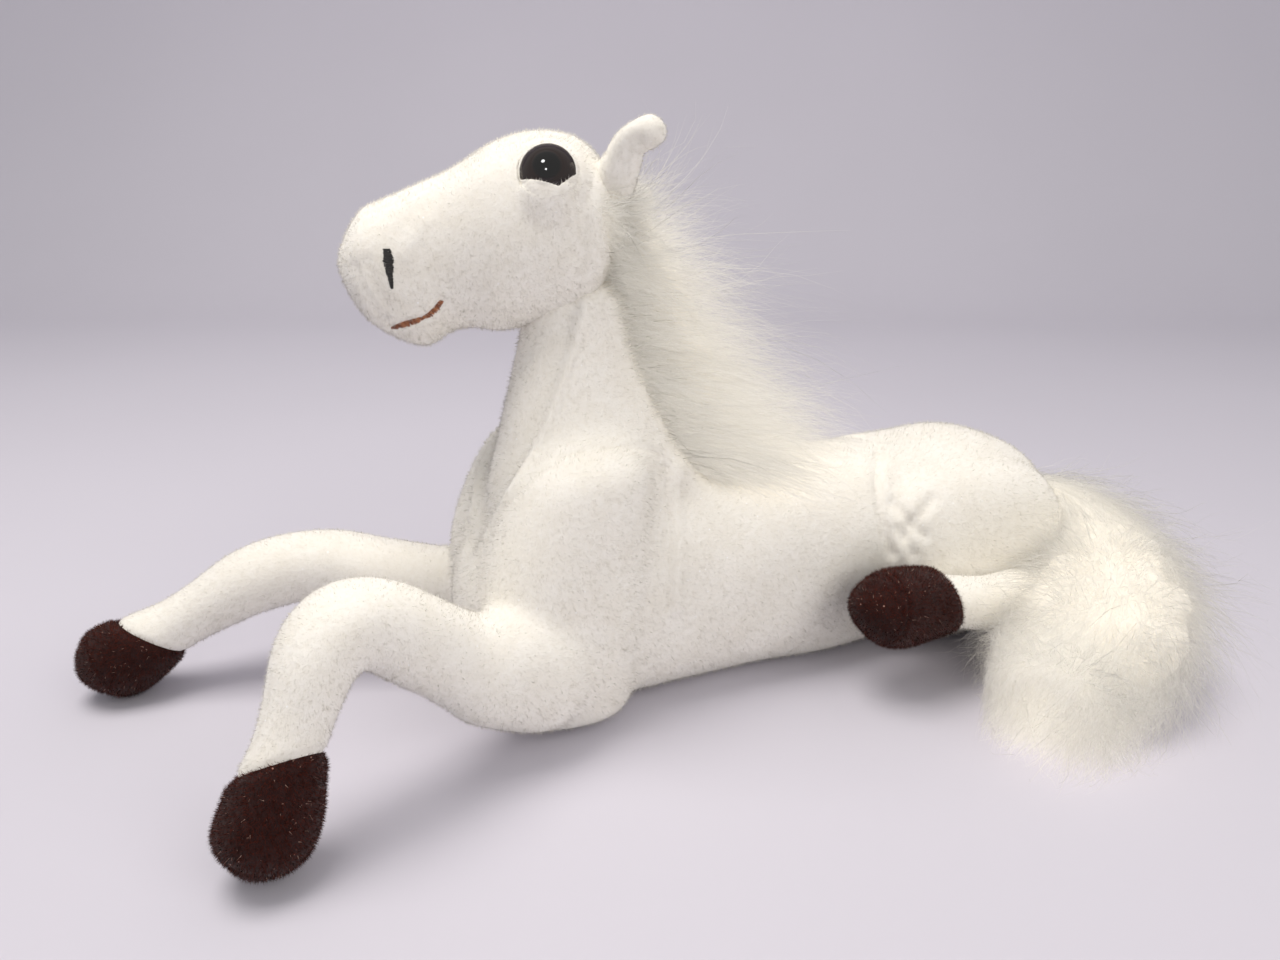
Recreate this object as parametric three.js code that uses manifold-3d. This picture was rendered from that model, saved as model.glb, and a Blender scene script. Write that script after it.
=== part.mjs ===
// A plush horse that lies on its chest and belly with its forelegs out in front.
// It is sewn from fabric panels over a fibre filling, with long fur for its mane and tail.
// Millimetres, +Z up. It faces -X, its left side is -Y, and the origin is on the floor under the chest.

import * as THREE from "three";
import { mergeVertices } from "three/addons/utils/BufferGeometryUtils.js";
import Module from "manifold-3d";

const wasm = await Module();
wasm.setup();

// Fabric, clearance and the flat that the plush lies on
const fabric = 2.2;
const gap = 0.3;
const restCut = 0.5;

// Trunk. A row of a form holds the place along it, its reach above and below,
// and half its width, all as shares. The belly reaches below the floor, so that it is cut flat there.
const bodyLength = 330;
const bodyHeight = 105;
const bodyWidth = 92;
const chestReach = 32;
const overrun = 3 * bodyLength;
const trunkCapShares = [0.06, 0.085];
const trunkRowShares = [
  [0, 0.76, 0.24, 0.38],
  [0.06, 0.95, -0.02, 0.43],
  [0.14, 1.02, -0.02, 0.465],
  [0.25, 1.03, -0.02, 0.475],
  [0.38, 0.99, -0.02, 0.465],
  [0.5, 0.97, -0.02, 0.455],
  [0.62, 0.97, -0.02, 0.455],
  [0.72, 0.985, -0.02, 0.465],
  [0.8, 0.99, -0.01, 0.475],
  [0.88, 0.93, 0.01, 0.46],
  [0.94, 0.82, 0.06, 0.41],
  [1, 0.66, 0.13, 0.35],
];
const gussetShare = 0.42;
const shoulderPatchShares = [0.128, 0.56, 0.125, 0.7];
const haunchPatchShares = [0.82, 0.42, 0.215, 0.56];
const bellySeamShare = 0.25;

// Shoulders, which rise from the elbow on the floor to the side of the neck
const shoulderHeight = 131;
const shoulderDepth = 78;
const shoulderWidth = 56;
const shoulderPlaceShares = [0.133, 0.272];
const shoulderCapShares = [0.07, 0.1];
const shoulderRowShares = [
  [0, 0.32, -0.34, 0.38],
  [0.15, 0.46, -0.37, 0.48],
  [0.38, 0.5, -0.47, 0.5],
  [0.61, 0.45, -0.5, 0.49],
  [0.84, 0.29, -0.5, 0.46],
  [0.95, 0.16, -0.46, 0.42],
  [1, 0.1, -0.4, 0.38],
];

// Haunches
const haunchLengthShare = 0.4;
const haunchLength = haunchLengthShare * bodyLength;
const haunchHeight = 95;
const haunchWidth = 50;
const haunchPlaceShares = [0.59, 0.283];
const haunchCapShares = [0.14, 0.24];
const haunchRowShares = [
  [0, 0.86, 0.25, 0.38],
  [0.2, 0.97, 0.05, 0.46],
  [0.5, 1, 0.01, 0.5],
  [0.75, 0.94, 0.02, 0.46],
  [1, 0.68, 0.13, 0.34],
];

// Neck
const neckHeight = 130;
const neckDepth = 104;
const neckWidth = 82;
const neckLean = 6;
const neckPlaceShares = [0.188, 0.64];
const neckCapShares = [0.12, 0.12];
const neckRowShares = [
  [0, 0.5, -0.52, 0.49],
  [0.3, 0.43, -0.49, 0.43],
  [0.48, 0.35, -0.4, 0.37],
  [0.63, 0.29, -0.31, 0.32],
  [0.8, 0.23, -0.25, 0.275],
  [1, 0.19, -0.19, 0.25],
];
const withersShares = [0.25, 1.06];
const neckSeamTilt = 35;

// Head
const headLength = 117;
const headHeight = 87;
const headWidth = 60;
const headTurn = 16;
const napeShare = 0.171;
const throatShare = 0.45;
const headLift = 8;
const headCapShares = [0.12, 0.115];
const headRowShares = [
  [0, 0.82, 0.34, 0.39],
  [0.1, 0.91, 0.22, 0.45],
  [0.17, 0.965, 0.16, 0.475],
  [0.308, 0.985, 0.1, 0.5],
  [0.444, 0.935, 0.07, 0.485],
  [0.556, 0.85, 0.085, 0.44],
  [0.624, 0.8, 0.064, 0.41],
  [0.7, 0.76, 0.003, 0.39],
  [0.77, 0.72, 0.015, 0.385],
  [0.838, 0.68, 0.06, 0.385],
  [0.906, 0.64, 0.125, 0.37],
  [1, 0.54, 0.25, 0.33],
];
const foreheadShare = 0.4;
const chinShare = 0.36;
const cheekSeamShare = 0.5;
const nodPlaceShares = [0.188, 0.355];

// Ears: the left one stands up and back, the right one flops out sideways
const earLength = 42;
const earThick = 14;
const earWide = 16;
const earRootShares = [0.02, 0.25, 0.6];
const earCapShares = [0.16, 0.16];
const earRowShares = [
  [0, 0.5, -0.5, 0.5],
  [0.35, 0.5, -0.5, 0.52],
  [0.7, 0.42, -0.46, 0.46],
  [1, 0.34, -0.38, 0.38],
];
const earPathShares = {
  left: [
    [0, 0, 0],
    [-0.06, 0.16, 0.42],
    [-0.18, 0.28, 0.74],
    [-0.42, 0.34, 0.82],
  ],
  right: [
    [0, 0, 0],
    [-0.14, 0.38, 0.06],
    [-0.34, 0.72, 0.06],
    [-0.54, 0.98, 0],
  ],
};

// Eyes: a dome on a stem, held inside by a washer
const eyeRadius = 12;
const eyeDome = 8;
const eyeRim = 1.2;
const eyeSink = 0.8;
const stemRadius = 2.4;
const stemLength = 14;
const washerRadius = 9;
const washerThick = 1.4;
const eyePlaceShares = [0.262, 0.405, 0.82];
const eyeLift = 26;
const eyeForward = 6;

// Nostrils and mouth, as stitching that stands a little out of the fabric
const nostrilTall = 15;
const nostrilTopWide = 5;
const nostrilFootWide = 2.4;
const nostrilPlaceShares = [0.808, 0.4];
const stitchProud = 0.5;
const stitchSunk = 0.6;
const mouthLine = 2.4;
const mouthPathShares = [
  [0.85, -0.07],
  [0.83, 0.005],
  [0.79, 0.085],
  [0.73, 0.125],
  [0.67, 0.16],
  [0.63, 0.225],
];

// Forelegs: the forearm runs from the shoulder to the knee, the lower leg from the knee to the toe.
// The angles are how far a stretch leans outward and how far it rises, in degrees.
const forearmLength = 85;
const forearmThick = 35;
const forelegRootShares = [0.028, 0.478, 0.335];
const forearmRowShares = [
  [0, 0.54, -0.54, 0.52],
  [0.5, 0.5, -0.5, 0.49],
  [1, 0.47, -0.47, 0.46],
];
const forelegAngles = {
  left: { forearm: [13.5, 31.5], lower: [38, -59.3] },
  right: { forearm: [14, 7.5], lower: [6, -21] },
};
const kneeShare = 0.3;
const lowerLength = 90;
const lowerThick = 34;
const toeShare = 0.45;
const lowerRowShares = [
  [0, 0.46, -0.46, 0.45],
  [0.13, 0.46, -0.46, 0.45],
  [0.26, 0.41, -0.4, 0.4],
  [0.38, 0.38, -0.38, 0.38],
  [0.52, 0.38, -0.38, 0.39],
  [0.64, 0.44, -0.5, 0.45],
  [0.76, 0.46, -0.62, 0.51],
  [0.88, 0.42, -0.6, 0.52],
  [1, 0.28, -0.42, 0.44],
];
const hoofSeamAt = 49;
const hoofSeamTilt = 24;
const soleAt = 82;

// Hind lower legs, from the hock to the toe
const hindLength = 98;
const hindThick = 34;
const hindRootShares = [0.8, 0.672, 0.3];
const hindAngles = { left: [3, 12], right: [3, -8] };

// Mane, from the poll down the back of the neck to the withers
const maneLength = 172;
const maneDeep = 68;
const maneWide = 54;
const maneStartShares = [-0.03, 0.72];
const maneCapShares = [0.06, 0.09];
const manePathShares = [
  [0, 0],
  [0.11, -0.15],
  [0.23, -0.31],
  [0.34, -0.47],
  [0.45, -0.62],
  [0.58, -0.73],
];
const maneRowShares = [
  [0, 0.3, -0.16, 0.24],
  [0.2, 0.62, -0.3, 0.4],
  [0.5, 0.9, -0.46, 0.5],
  [0.78, 0.86, -0.46, 0.5],
  [1, 0.4, -0.22, 0.38],
];

// Tail, from the rump round to the left side
const tailLength = 180;
const tailDeep = 70;
const tailWide = 88;
const tailRootShares = [0.955, -0.03, 0.66];
const tailCapShares = [0.06, 0.16];
const tailPathShares = [
  [0, 0, 0],
  [0.056, -0.178, -0.078],
  [-0.017, -0.4, -0.172],
  [-0.239, -0.583, -0.206],
  [-0.461, -0.694, -0.228],
];
const tailRowShares = [
  [0, 0.2, -0.2, 0.16],
  [0.16, 0.3, -0.3, 0.26],
  [0.4, 0.46, -0.44, 0.4],
  [0.7, 0.5, -0.46, 0.5],
  [1, 0.34, -0.38, 0.44],
];
const tailBall = 13;

// How far each joint turns from rest, in degrees
const turns = {
  nod: [-12, 12],
  ear: [-20, 20],
  lift: [-8, 25],
  knee: { left: [-12, 40], right: [-40, 12] },
  hind: [-8, 16],
  tail: [-5, 35],
};

// Room left round a piece that turns, and round the coarse form of the trunk so that it clears the fine one
const turnRoom = 0.8;
const coarseRoom = 4.2;

// Finishes
const finish = (color, roughness) => new THREE.MeshStandardMaterial({ color, roughness, metalness: 0 });
const whitePlush = finish(0xece8df, 0.95);
const brownPlush = finish(0x2e130d, 0.95);
const longFur = finish(0xe7e0d2, 0.9);
const filling = finish(0xf5f4f0, 1);
const eyePlastic = finish(0x120a07, 0.08);
const washerPlastic = finish(0xe2e2dd, 0.4);
const blackThread = finish(0x14110f, 0.7);
const brownThread = finish(0x7a3f28, 0.7);

// Detail: points round a form and rings along it, for outer skins and for what they hold
const fine = { sides: 12, rings: 6, cap: 2 };
const plain = { sides: 8, rings: 4, cap: 2 };
const limbFine = { sides: 10, rings: 4, cap: 2 };
const limbPlain = { sides: 6, rings: 3, cap: 2 };
const patchSides = 12;
const squareness = 2.3;
const ovalness = 2;
const eyeSides = 12;
const domeSteps = 3;
const ballSides = 16;
const turnStep = 14;
const weldShare = 0.001;
const quarterTurn = Math.PI / 2;

const vector = (x, y, z) => new THREE.Vector3(x, y, z);
const ORIGIN = vector(0, 0, 0);
const UP = vector(0, 0, 1);
const DOWN = vector(0, 0, -1);
const FORWARD = vector(-1, 0, 0);
const RIGHTWARD = vector(0, 1, 0);
const SIDES = [
  { side: "left", sign: -1 },
  { side: "right", sign: 1 },
];
const radians = THREE.MathUtils.degToRad;

// A closed geometry as a solid that can be joined and cut.
function solid(geometry, matrix = new THREE.Matrix4()) {
  const flat = geometry.index ? geometry.toNonIndexed() : geometry;
  const bare = new THREE.BufferGeometry();
  bare.setAttribute("position", flat.getAttribute("position").clone());
  bare.applyMatrix4(matrix);
  const merged = mergeVertices(bare, weldShare * gap);
  const corners = merged.index.array;
  const triVerts = [];
  for (let i = 0; i < corners.length; i += 3) {
    const [a, b, c] = corners.subarray(i, i + 3);
    if (a !== b && b !== c && c !== a) triVerts.push(a, b, c);
  }
  return new wasm.Manifold(
    new wasm.Mesh({
      numProp: 3,
      vertProperties: merged.attributes.position.array,
      triVerts: new Uint32Array(triVerts),
    }),
  );
}

const joined = (solids) => solids.reduce((all, one) => all.add(one));
const without = (piece, cutters) => cutters.reduce((left, cutter) => left.subtract(cutter), piece);

// The values of a table at one place along it, on a smooth curve through its rows.
function rowAt(rows, along) {
  let i = 0;
  while (i < rows.length - 2 && rows[i + 1][0] < along) i += 1;
  const before = rows[Math.max(i - 1, 0)];
  const from = rows[i];
  const to = rows[i + 1];
  const after = rows[Math.min(i + 2, rows.length - 1)];
  const span = to[0] - from[0];
  const t = THREE.MathUtils.clamp((along - from[0]) / span, 0, 1);
  return from.slice(1).map((value, k) => {
    const next = to[k + 1];
    const slopeIn = ((next - before[k + 1]) / (to[0] - before[0])) * span;
    const slopeOut = ((after[k + 1] - value) / (after[0] - from[0])) * span;
    const eased = t * t * (3 - 2 * t);
    return value + (next - value) * eased + slopeIn * t * (1 - t) ** 2 - slopeOut * t * t * (1 - t);
  });
}

// Where the rings of a form lie along it, and how far each is drawn in by the round ends.
function ringPlaces(capStart, capEnd, { rings, cap }) {
  const places = [];
  for (let i = 1; i <= cap; i += 1) {
    const angle = quarterTurn * (i / cap);
    places.push([capStart * (1 - Math.cos(angle)), Math.sin(angle)]);
  }
  for (let i = 1; i < rings; i += 1) {
    places.push([THREE.MathUtils.lerp(capStart, 1 - capEnd, i / rings), 1]);
  }
  for (let i = cap; i >= 1; i -= 1) {
    const angle = quarterTurn * (i / cap);
    places.push([1 - capEnd * (1 - Math.cos(angle)), Math.sin(angle)]);
  }
  return places;
}

const rounded = (value, square) => Math.sign(value) * Math.abs(value) ** (2 / square);

// A soft form: rounded sections along a curve, closed by round ends.
// grow makes it larger or smaller all round.
function softForm(form, detail, grow = 0) {
  const { curve, up, rows, height, width, capShares, square = squareness } = form;
  const places = ringPlaces(capShares[0], capShares[1], detail);
  const sectionAt = (place) => {
    const tangent = curve.getTangentAt(place);
    const above = up.clone().addScaledVector(tangent, -tangent.dot(up)).normalize();
    const [top, bottom, half] = rowAt(rows, place);
    const centre = curve.getPointAt(place).addScaledVector(tangent, grow * (2 * place - 1));
    return {
      centre: centre.addScaledVector(above, ((top + bottom) / 2) * height),
      above: above.clone().multiplyScalar(((top - bottom) / 2) * height + grow),
      side: above.clone().cross(tangent).multiplyScalar(half * width + grow),
    };
  };
  const points = [sectionAt(0).centre];
  for (const [place, scale] of places) {
    const { centre, above, side } = sectionAt(place);
    for (let j = 0; j < detail.sides; j += 1) {
      const angle = (4 * quarterTurn * (j + 0.5)) / detail.sides;
      const point = centre.clone().addScaledVector(side, rounded(Math.cos(angle), square) * scale);
      points.push(point.addScaledVector(above, rounded(Math.sin(angle), square) * scale));
    }
  }
  points.push(sectionAt(1).centre);
  const at = (ring, j) => 1 + ring * detail.sides + (j % detail.sides);
  const lastRing = places.length - 1;
  const faces = [];
  for (let j = 0; j < detail.sides; j += 1) {
    faces.push(0, at(0, j + 1), at(0, j));
    for (let ring = 0; ring < lastRing; ring += 1) {
      faces.push(at(ring, j), at(ring, j + 1), at(ring + 1, j + 1));
      faces.push(at(ring, j), at(ring + 1, j + 1), at(ring + 1, j));
    }
    faces.push(points.length - 1, at(lastRing, j), at(lastRing, j + 1));
  }
  return new THREE.BufferGeometry().setFromPoints(points).setIndex(faces);
}

const line = (from, to) => new THREE.LineCurve3(from, to);

// The turn of a joint by some degrees.
function turned({ pivot, axis }, degrees) {
  const away = new THREE.Matrix4().makeTranslation(pivot.x, pivot.y, pivot.z);
  const back = new THREE.Matrix4().makeTranslation(-pivot.x, -pivot.y, -pivot.z);
  return away.multiply(new THREE.Matrix4().makeRotationAxis(axis, radians(degrees))).multiply(back);
}

// The angles of a joint's range, rest among them, close enough together to stand for the whole range.
function anglesOf(range) {
  const towards = (end) => {
    const count = Math.ceil(Math.abs(end) / turnStep);
    return Array.from({ length: count }, (_, i) => (end * (i + 1)) / count);
  };
  return [0, ...range.flatMap(towards)];
}

// Everything that a geometry passes through as it turns about a joint.
const swept = (geometry, joint) =>
  joined(anglesOf(joint.range).map((degrees) => solid(geometry, turned(joint, degrees))));

// A solid as it lies at each angle of a joint's range, seen from the piece that turns.
const turnedBack = (piece, joint) =>
  anglesOf(joint.range).map((degrees) => piece.transform(turned(joint, -degrees).elements));

// A block wider than the plush, with its middle at a point and one pair of faces square to a direction.
function block(centre, direction, thickness) {
  const turn = new THREE.Quaternion().setFromUnitVectors(UP, direction.clone().normalize());
  const place = new THREE.Matrix4().compose(centre, turn, vector(1, 1, 1));
  return solid(new THREE.BoxGeometry(overrun, overrun, thickness), place);
}

// All that lies on one side of a plane, the side that the direction points to.
const beyond = (point, direction) =>
  block(point.clone().addScaledVector(direction.clone().normalize(), overrun / 2), direction, overrun);

const horse = new THREE.Group();

// The largest body of a piece: cutting panels along their seams leaves crumbs of fabric beside it.
const largestOf = (piece) => piece.decompose().sort((a, b) => b.volume() - a.volume())[0];

// Adds one piece to the horse under its own name.
function addPiece(name, piece, material) {
  const { vertProperties, triVerts } = largestOf(piece).getMesh();
  const geometry = new THREE.BufferGeometry();
  geometry.setAttribute("position", new THREE.BufferAttribute(new Float32Array(vertProperties), 3));
  geometry.setIndex(new THREE.BufferAttribute(new Uint32Array(triVerts), 1));
  const mesh = new THREE.Mesh(geometry, material);
  mesh.name = name;
  horse.add(mesh);
}


// Places on the trunk, as shares of its length, width and height
const onBody = (along, across, up) =>
  vector(along * bodyLength - chestReach, across * bodyWidth, up * bodyHeight - restCut);
const ahead = (point, direction, length) => point.clone().addScaledVector(direction, length);

const trunkForm = {
  curve: line(onBody(0, 0, 0), onBody(1, 0, 0)),
  up: UP,
  rows: trunkRowShares,
  height: bodyHeight,
  width: bodyWidth,
  capShares: trunkCapShares,
};
const shoulderForm = (sign) => {
  const foot = onBody(shoulderPlaceShares[0], sign * shoulderPlaceShares[1], 0);
  return {
    curve: line(foot, ahead(foot, UP, shoulderHeight)),
    up: FORWARD,
    rows: shoulderRowShares,
    height: shoulderDepth,
    width: shoulderWidth,
    capShares: shoulderCapShares,
  };
};
const haunchForm = (sign) => {
  const front = onBody(haunchPlaceShares[0], sign * haunchPlaceShares[1], 0);
  return {
    curve: line(front, ahead(front, FORWARD, -haunchLength)),
    up: UP,
    rows: haunchRowShares,
    height: haunchHeight,
    width: haunchWidth,
    capShares: haunchCapShares,
  };
};
const neckFoot = onBody(neckPlaceShares[0], 0, neckPlaceShares[1]);
const neckTop = neckFoot.clone().add(vector(0, neckLean, neckHeight));
const neckForm = {
  curve: line(neckFoot, neckTop),
  up: FORWARD,
  rows: neckRowShares,
  height: neckDepth,
  width: neckWidth,
  capShares: neckCapShares,
};

// The head's own directions, and places on it as shares of its length, width and height
const headAhead = FORWARD.clone().applyAxisAngle(UP, radians(-headTurn));
const headRight = UP.clone().cross(headAhead).negate();
const headFoot = ahead(neckTop, headAhead, -napeShare * headLength);
headFoot.z += headLift - throatShare * headHeight;
const onHead = (along, right, up) => {
  const middle = ahead(headFoot, headAhead, along * headLength);
  return ahead(ahead(middle, headRight, right * headWidth), UP, up * headHeight);
};
const headForm = {
  curve: line(onHead(0, 0, 0), onHead(1, 0, 0)),
  up: UP,
  rows: headRowShares,
  height: headHeight,
  width: headWidth,
  capShares: headCapShares,
};
const nod = { pivot: onHead(nodPlaceShares[0], 0, nodPlaceShares[1]), axis: headRight, range: turns.nod };

// A leg's direction, from how far it leans outward and how far it rises
const legAhead = (sign, outward, rise) =>
  vector(
    -Math.cos(radians(rise)) * Math.cos(radians(outward)),
    sign * Math.cos(radians(rise)) * Math.sin(radians(outward)),
    Math.sin(radians(rise)),
  );

// A limb starts with a ball round its joint and ends in a round cap.
function limb(start, direction, length, thick, rows, endShare) {
  const whole = length + thick / 2;
  return {
    curve: line(ahead(start, direction, -thick / 2), ahead(start, direction, length)),
    up: UP,
    rows,
    height: thick,
    width: thick,
    capShares: [thick / 2 / whole, (endShare * thick) / whole],
    square: ovalness,
  };
}

const forelegs = SIDES.map(({ side, sign }) => {
  const angles = forelegAngles[side];
  const root = onBody(forelegRootShares[0], sign * forelegRootShares[1], forelegRootShares[2]);
  const upperAhead = legAhead(sign, ...angles.forearm);
  const knee = ahead(root, upperAhead, forearmLength);
  const lowerAhead = legAhead(sign, ...angles.lower);
  return {
    side,
    upper: limb(root, upperAhead, forearmLength, forearmThick, forearmRowShares, kneeShare),
    upperAhead,
    lift: { pivot: root, axis: RIGHTWARD, range: turns.lift },
    lower: limb(knee, lowerAhead, lowerLength, lowerThick, lowerRowShares, toeShare),
    lowerAhead,
    bend: { pivot: knee, axis: RIGHTWARD, range: turns.knee[side] },
  };
});

const hindLegs = SIDES.map(({ side, sign }) => {
  const hock = onBody(hindRootShares[0], sign * hindRootShares[1], hindRootShares[2]);
  const lowerAhead = legAhead(sign, ...hindAngles[side]);
  return {
    side,
    lower: limb(hock, lowerAhead, hindLength, hindThick, lowerRowShares, toeShare),
    lowerAhead,
    bend: { pivot: hock, axis: RIGHTWARD, range: turns.hind },
  };
});

// Ears on the head
const ears = SIDES.map(({ side, sign }) => {
  const [along, right, up] = earRootShares;
  const root = onHead(along, sign * right, up);
  const path = earPathShares[side].map(([forward, outward, above]) => {
    const reached = ahead(root, headAhead, forward * earLength);
    return ahead(ahead(reached, headRight, sign * outward * earLength), UP, above * earLength);
  });
  const flat = side === "left" ? headRight : UP;
  return {
    side,
    seam: path.at(-1).clone().sub(root).cross(flat).cross(path.at(-1).clone().sub(root)).normalize(),
    form: {
      curve: new THREE.CatmullRomCurve3(path),
      up: flat,
      rows: earRowShares,
      height: earThick,
      width: earWide,
      capShares: earCapShares,
      square: ovalness,
    },
    flop: {
      pivot: root,
      axis: side === "left" ? headAhead : headAhead.clone().negate(),
      range: turns.ear,
    },
  };
});

// Mane and tail
const maneStart = onHead(maneStartShares[0], 0, maneStartShares[1]);
const maneForm = {
  curve: new THREE.CatmullRomCurve3(
    manePathShares.map(([back, up]) => maneStart.clone().add(vector(back * maneLength, 0, up * maneLength))),
  ),
  up: FORWARD,
  rows: maneRowShares,
  height: maneDeep,
  width: maneWide,
  capShares: maneCapShares,
  square: ovalness,
};
const tailRoot = onBody(...tailRootShares);
const tailForm = {
  curve: new THREE.CatmullRomCurve3(
    tailPathShares.map((share) => ahead(tailRoot, vector(...share), tailLength)),
  ),
  up: UP,
  rows: tailRowShares,
  height: tailDeep,
  width: tailWide,
  capShares: tailCapShares,
  square: ovalness,
};
const tailLift = { pivot: tailRoot, axis: FORWARD, range: turns.tail };
const ball = (centre, radius) =>
  solid(
    new THREE.SphereGeometry(radius, ballSides, ballSides / 2),
    new THREE.Matrix4().makeTranslation(centre),
  );

// Trunk: one skin and one filling for the chest, belly, shoulders, haunches and neck
const aboveFloor = beyond(ORIGIN, UP);
const fixedForms = [
  trunkForm,
  neckForm,
  ...SIDES.map(({ sign }) => shoulderForm(sign)),
  ...SIDES.map(({ sign }) => haunchForm(sign)),
];
const fixed = (detail, grow) => joined(fixedForms.map((form) => solid(softForm(form, detail, grow))));
const headSweep = swept(softForm(headForm, fine, turnRoom), nod);
const trunkRoom = [
  headSweep,
  ball(tailRoot, tailBall + turnRoom),
  ...forelegs.map((leg) => swept(softForm(leg.upper, limbFine, turnRoom), leg.lift)),
  ...hindLegs.map((leg) => swept(softForm(leg.lower, limbFine, turnRoom), leg.bend)),
];
const trunkOuter = fixed(fine, 0).intersect(aboveFloor);
const trunkSkin = without(trunkOuter, [fixed(plain, -fabric), ...trunkRoom]);
addPiece("trunk_filling", without(fixed(plain, -fabric - gap), trunkRoom), filling);

// The gusset runs down the front of the neck, between the forelegs and under the belly.
const gussetHalf = (gussetShare * bodyWidth) / 2;
const bellySeam = onBody(0, 0, bellySeamShare);
const strip = (half) => block(ORIGIN, RIGHTWARD, 2 * half);
const throatStrip = (room) =>
  strip(gussetHalf + room)
    .intersect(beyond(ahead(neckFoot, FORWARD, -room), FORWARD))
    .intersect(beyond(ahead(bellySeam, UP, -room), UP));
const bellyStrip = (room) => strip(gussetHalf + room).intersect(beyond(ahead(bellySeam, UP, room), DOWN));
addPiece("throat_gusset", trunkSkin.intersect(throatStrip(0)), whitePlush);
addPiece("belly_gusset", trunkSkin.intersect(bellyStrip(-gap).intersect(strip(gussetHalf))), whitePlush);
const flanks = without(trunkSkin, [throatStrip(gap), bellyStrip(gap)]);

// A rounded patch of the side, seen from the left, from its middle and half its length and height
const patch = ([along, up, halfLong, halfTall], room) => {
  const middle = onBody(along, 0, up);
  const outline = Array.from({ length: patchSides }, (_, i) => {
    const angle = (4 * quarterTurn * (i + 0.5)) / patchSides;
    return new THREE.Vector2(
      middle.x + rounded(Math.cos(angle), squareness) * (halfLong * bodyLength + room),
      -middle.z - rounded(Math.sin(angle), squareness) * (halfTall * bodyHeight + room),
    );
  });
  const plate = new THREE.ExtrudeGeometry(new THREE.Shape(outline), {
    depth: 2 * bodyWidth,
    bevelEnabled: false,
  });
  return solid(plate.translate(0, 0, -bodyWidth).rotateX(-quarterTurn));
};

// Side panels. The neck's runs down the chest in front of the shoulder.
const withers = onBody(withersShares[0], 0, withersShares[1]);
const neckSeam = FORWARD.clone().applyAxisAngle(RIGHTWARD, radians(neckSeamTilt));
for (const { side, sign } of SIDES) {
  const outward = vector(0, sign, 0);
  const half = flanks.intersect(beyond(ahead(ORIGIN, outward, gap / 2), outward));
  const chest = (room) =>
    beyond(ahead(onBody(shoulderPlaceShares[0], 0, 0), FORWARD, room), FORWARD).add(
      beyond(ahead(withers, neckSeam, room), neckSeam),
    );
  addPiece("shoulder_" + side, half.intersect(patch(shoulderPatchShares, 0)), whitePlush);
  addPiece("haunch_" + side, half.intersect(patch(haunchPatchShares, 0)), whitePlush);
  const rest = without(half, [patch(shoulderPatchShares, gap), patch(haunchPatchShares, gap)]);
  addPiece("neck_side_" + side, rest.intersect(chest(0)), whitePlush);
  addPiece("barrel_" + side, rest.subtract(chest(-gap)), whitePlush);
}

// Eyes: a lathed dome and stem, a washer behind the fabric, and the fabric pressed flat between them
const eyeSolid = (seat, room) => {
  const radius = eyeRadius + room;
  const dome = eyeDome + room;
  const arcRadius = (radius ** 2 + dome ** 2) / (2 * dome);
  const arcStart = Math.asin(radius / arcRadius);
  const profile = [
    new THREE.Vector2(0, -stemLength - room),
    new THREE.Vector2(stemRadius + room, -stemLength - room),
    new THREE.Vector2(stemRadius + room, -eyeRim - room),
    new THREE.Vector2(radius, -eyeRim - room),
  ];
  for (let i = 0; i <= domeSteps; i += 1) {
    const angle = arcStart * (1 - i / domeSteps);
    profile.push(new THREE.Vector2(arcRadius * Math.sin(angle), dome - arcRadius * (1 - Math.cos(angle))));
  }
  return solid(new THREE.LatheGeometry(profile, eyeSides), seat);
};
const disc = (seat, radius, from, to) => {
  const geometry = new THREE.CylinderGeometry(radius, radius, to - from, eyeSides);
  return solid(geometry.translate(0, (from + to) / 2, 0), seat);
};
const pressedTop = -eyeRim - gap;
const pressedFoot = pressedTop - fabric;
const washerTop = pressedFoot - gap;
const washerFoot = washerTop - washerThick;
const eyes = SIDES.map(({ side, sign }) => {
  const [along, right, up] = eyePlaceShares;
  const facing = headRight.clone().multiplyScalar(sign).applyAxisAngle(headAhead, -sign * radians(eyeLift));
  facing.addScaledVector(headAhead, Math.tan(radians(eyeForward))).normalize();
  const place = ahead(onHead(along, sign * right, up), facing, -eyeSink);
  const turn = new THREE.Quaternion().setFromUnitVectors(RIGHTWARD, facing);
  return { side, seat: new THREE.Matrix4().compose(place, turn, vector(1, 1, 1)) };
});

// Stitches on the head: satin stitch nostrils, and a mouth line that runs round the chin
const sideways = new THREE.Matrix4().makeBasis(headAhead, UP, headRight).setPosition(headFoot);
const across = (outline, from, to) => {
  const geometry = new THREE.ExtrudeGeometry(new THREE.Shape(outline), {
    depth: to - from,
    bevelEnabled: false,
  });
  return solid(geometry.translate(0, 0, from), sideways);
};
const headPoint = ([along, up]) => new THREE.Vector2(along * headLength, up * headHeight);
const nostrilOutline = (room) => {
  const middle = headPoint(nostrilPlaceShares);
  const tall = nostrilTall / 2 + room;
  return [
    [-nostrilFootWide / 2 - room, -tall],
    [nostrilFootWide / 2 + room, -tall],
    [nostrilTopWide / 2 + room, tall],
    [-nostrilTopWide / 2 - room, tall],
  ].map(([x, y]) => new THREE.Vector2(x, y).add(middle));
};
const mouthOutline = (room) => {
  const path = mouthPathShares.map(headPoint);
  const edge = (half) =>
    path.map((point, i) => {
      const before = path[Math.max(i - 1, 0)];
      const after = path[Math.min(i + 1, path.length - 1)];
      const direction = after.clone().sub(before).normalize();
      const end = i === path.length - 1 ? room : 0;
      const aside = new THREE.Vector2(-direction.y, direction.x).multiplyScalar(half);
      return aside.add(point).addScaledVector(direction, end);
    });
  const half = mouthLine / 2 + room;
  return [...edge(-half), ...edge(half).reverse()];
};
const stitchBand = (room) =>
  solid(softForm(headForm, fine, stitchProud + room)).subtract(
    solid(softForm(headForm, fine, -stitchSunk - room)),
  );
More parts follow.
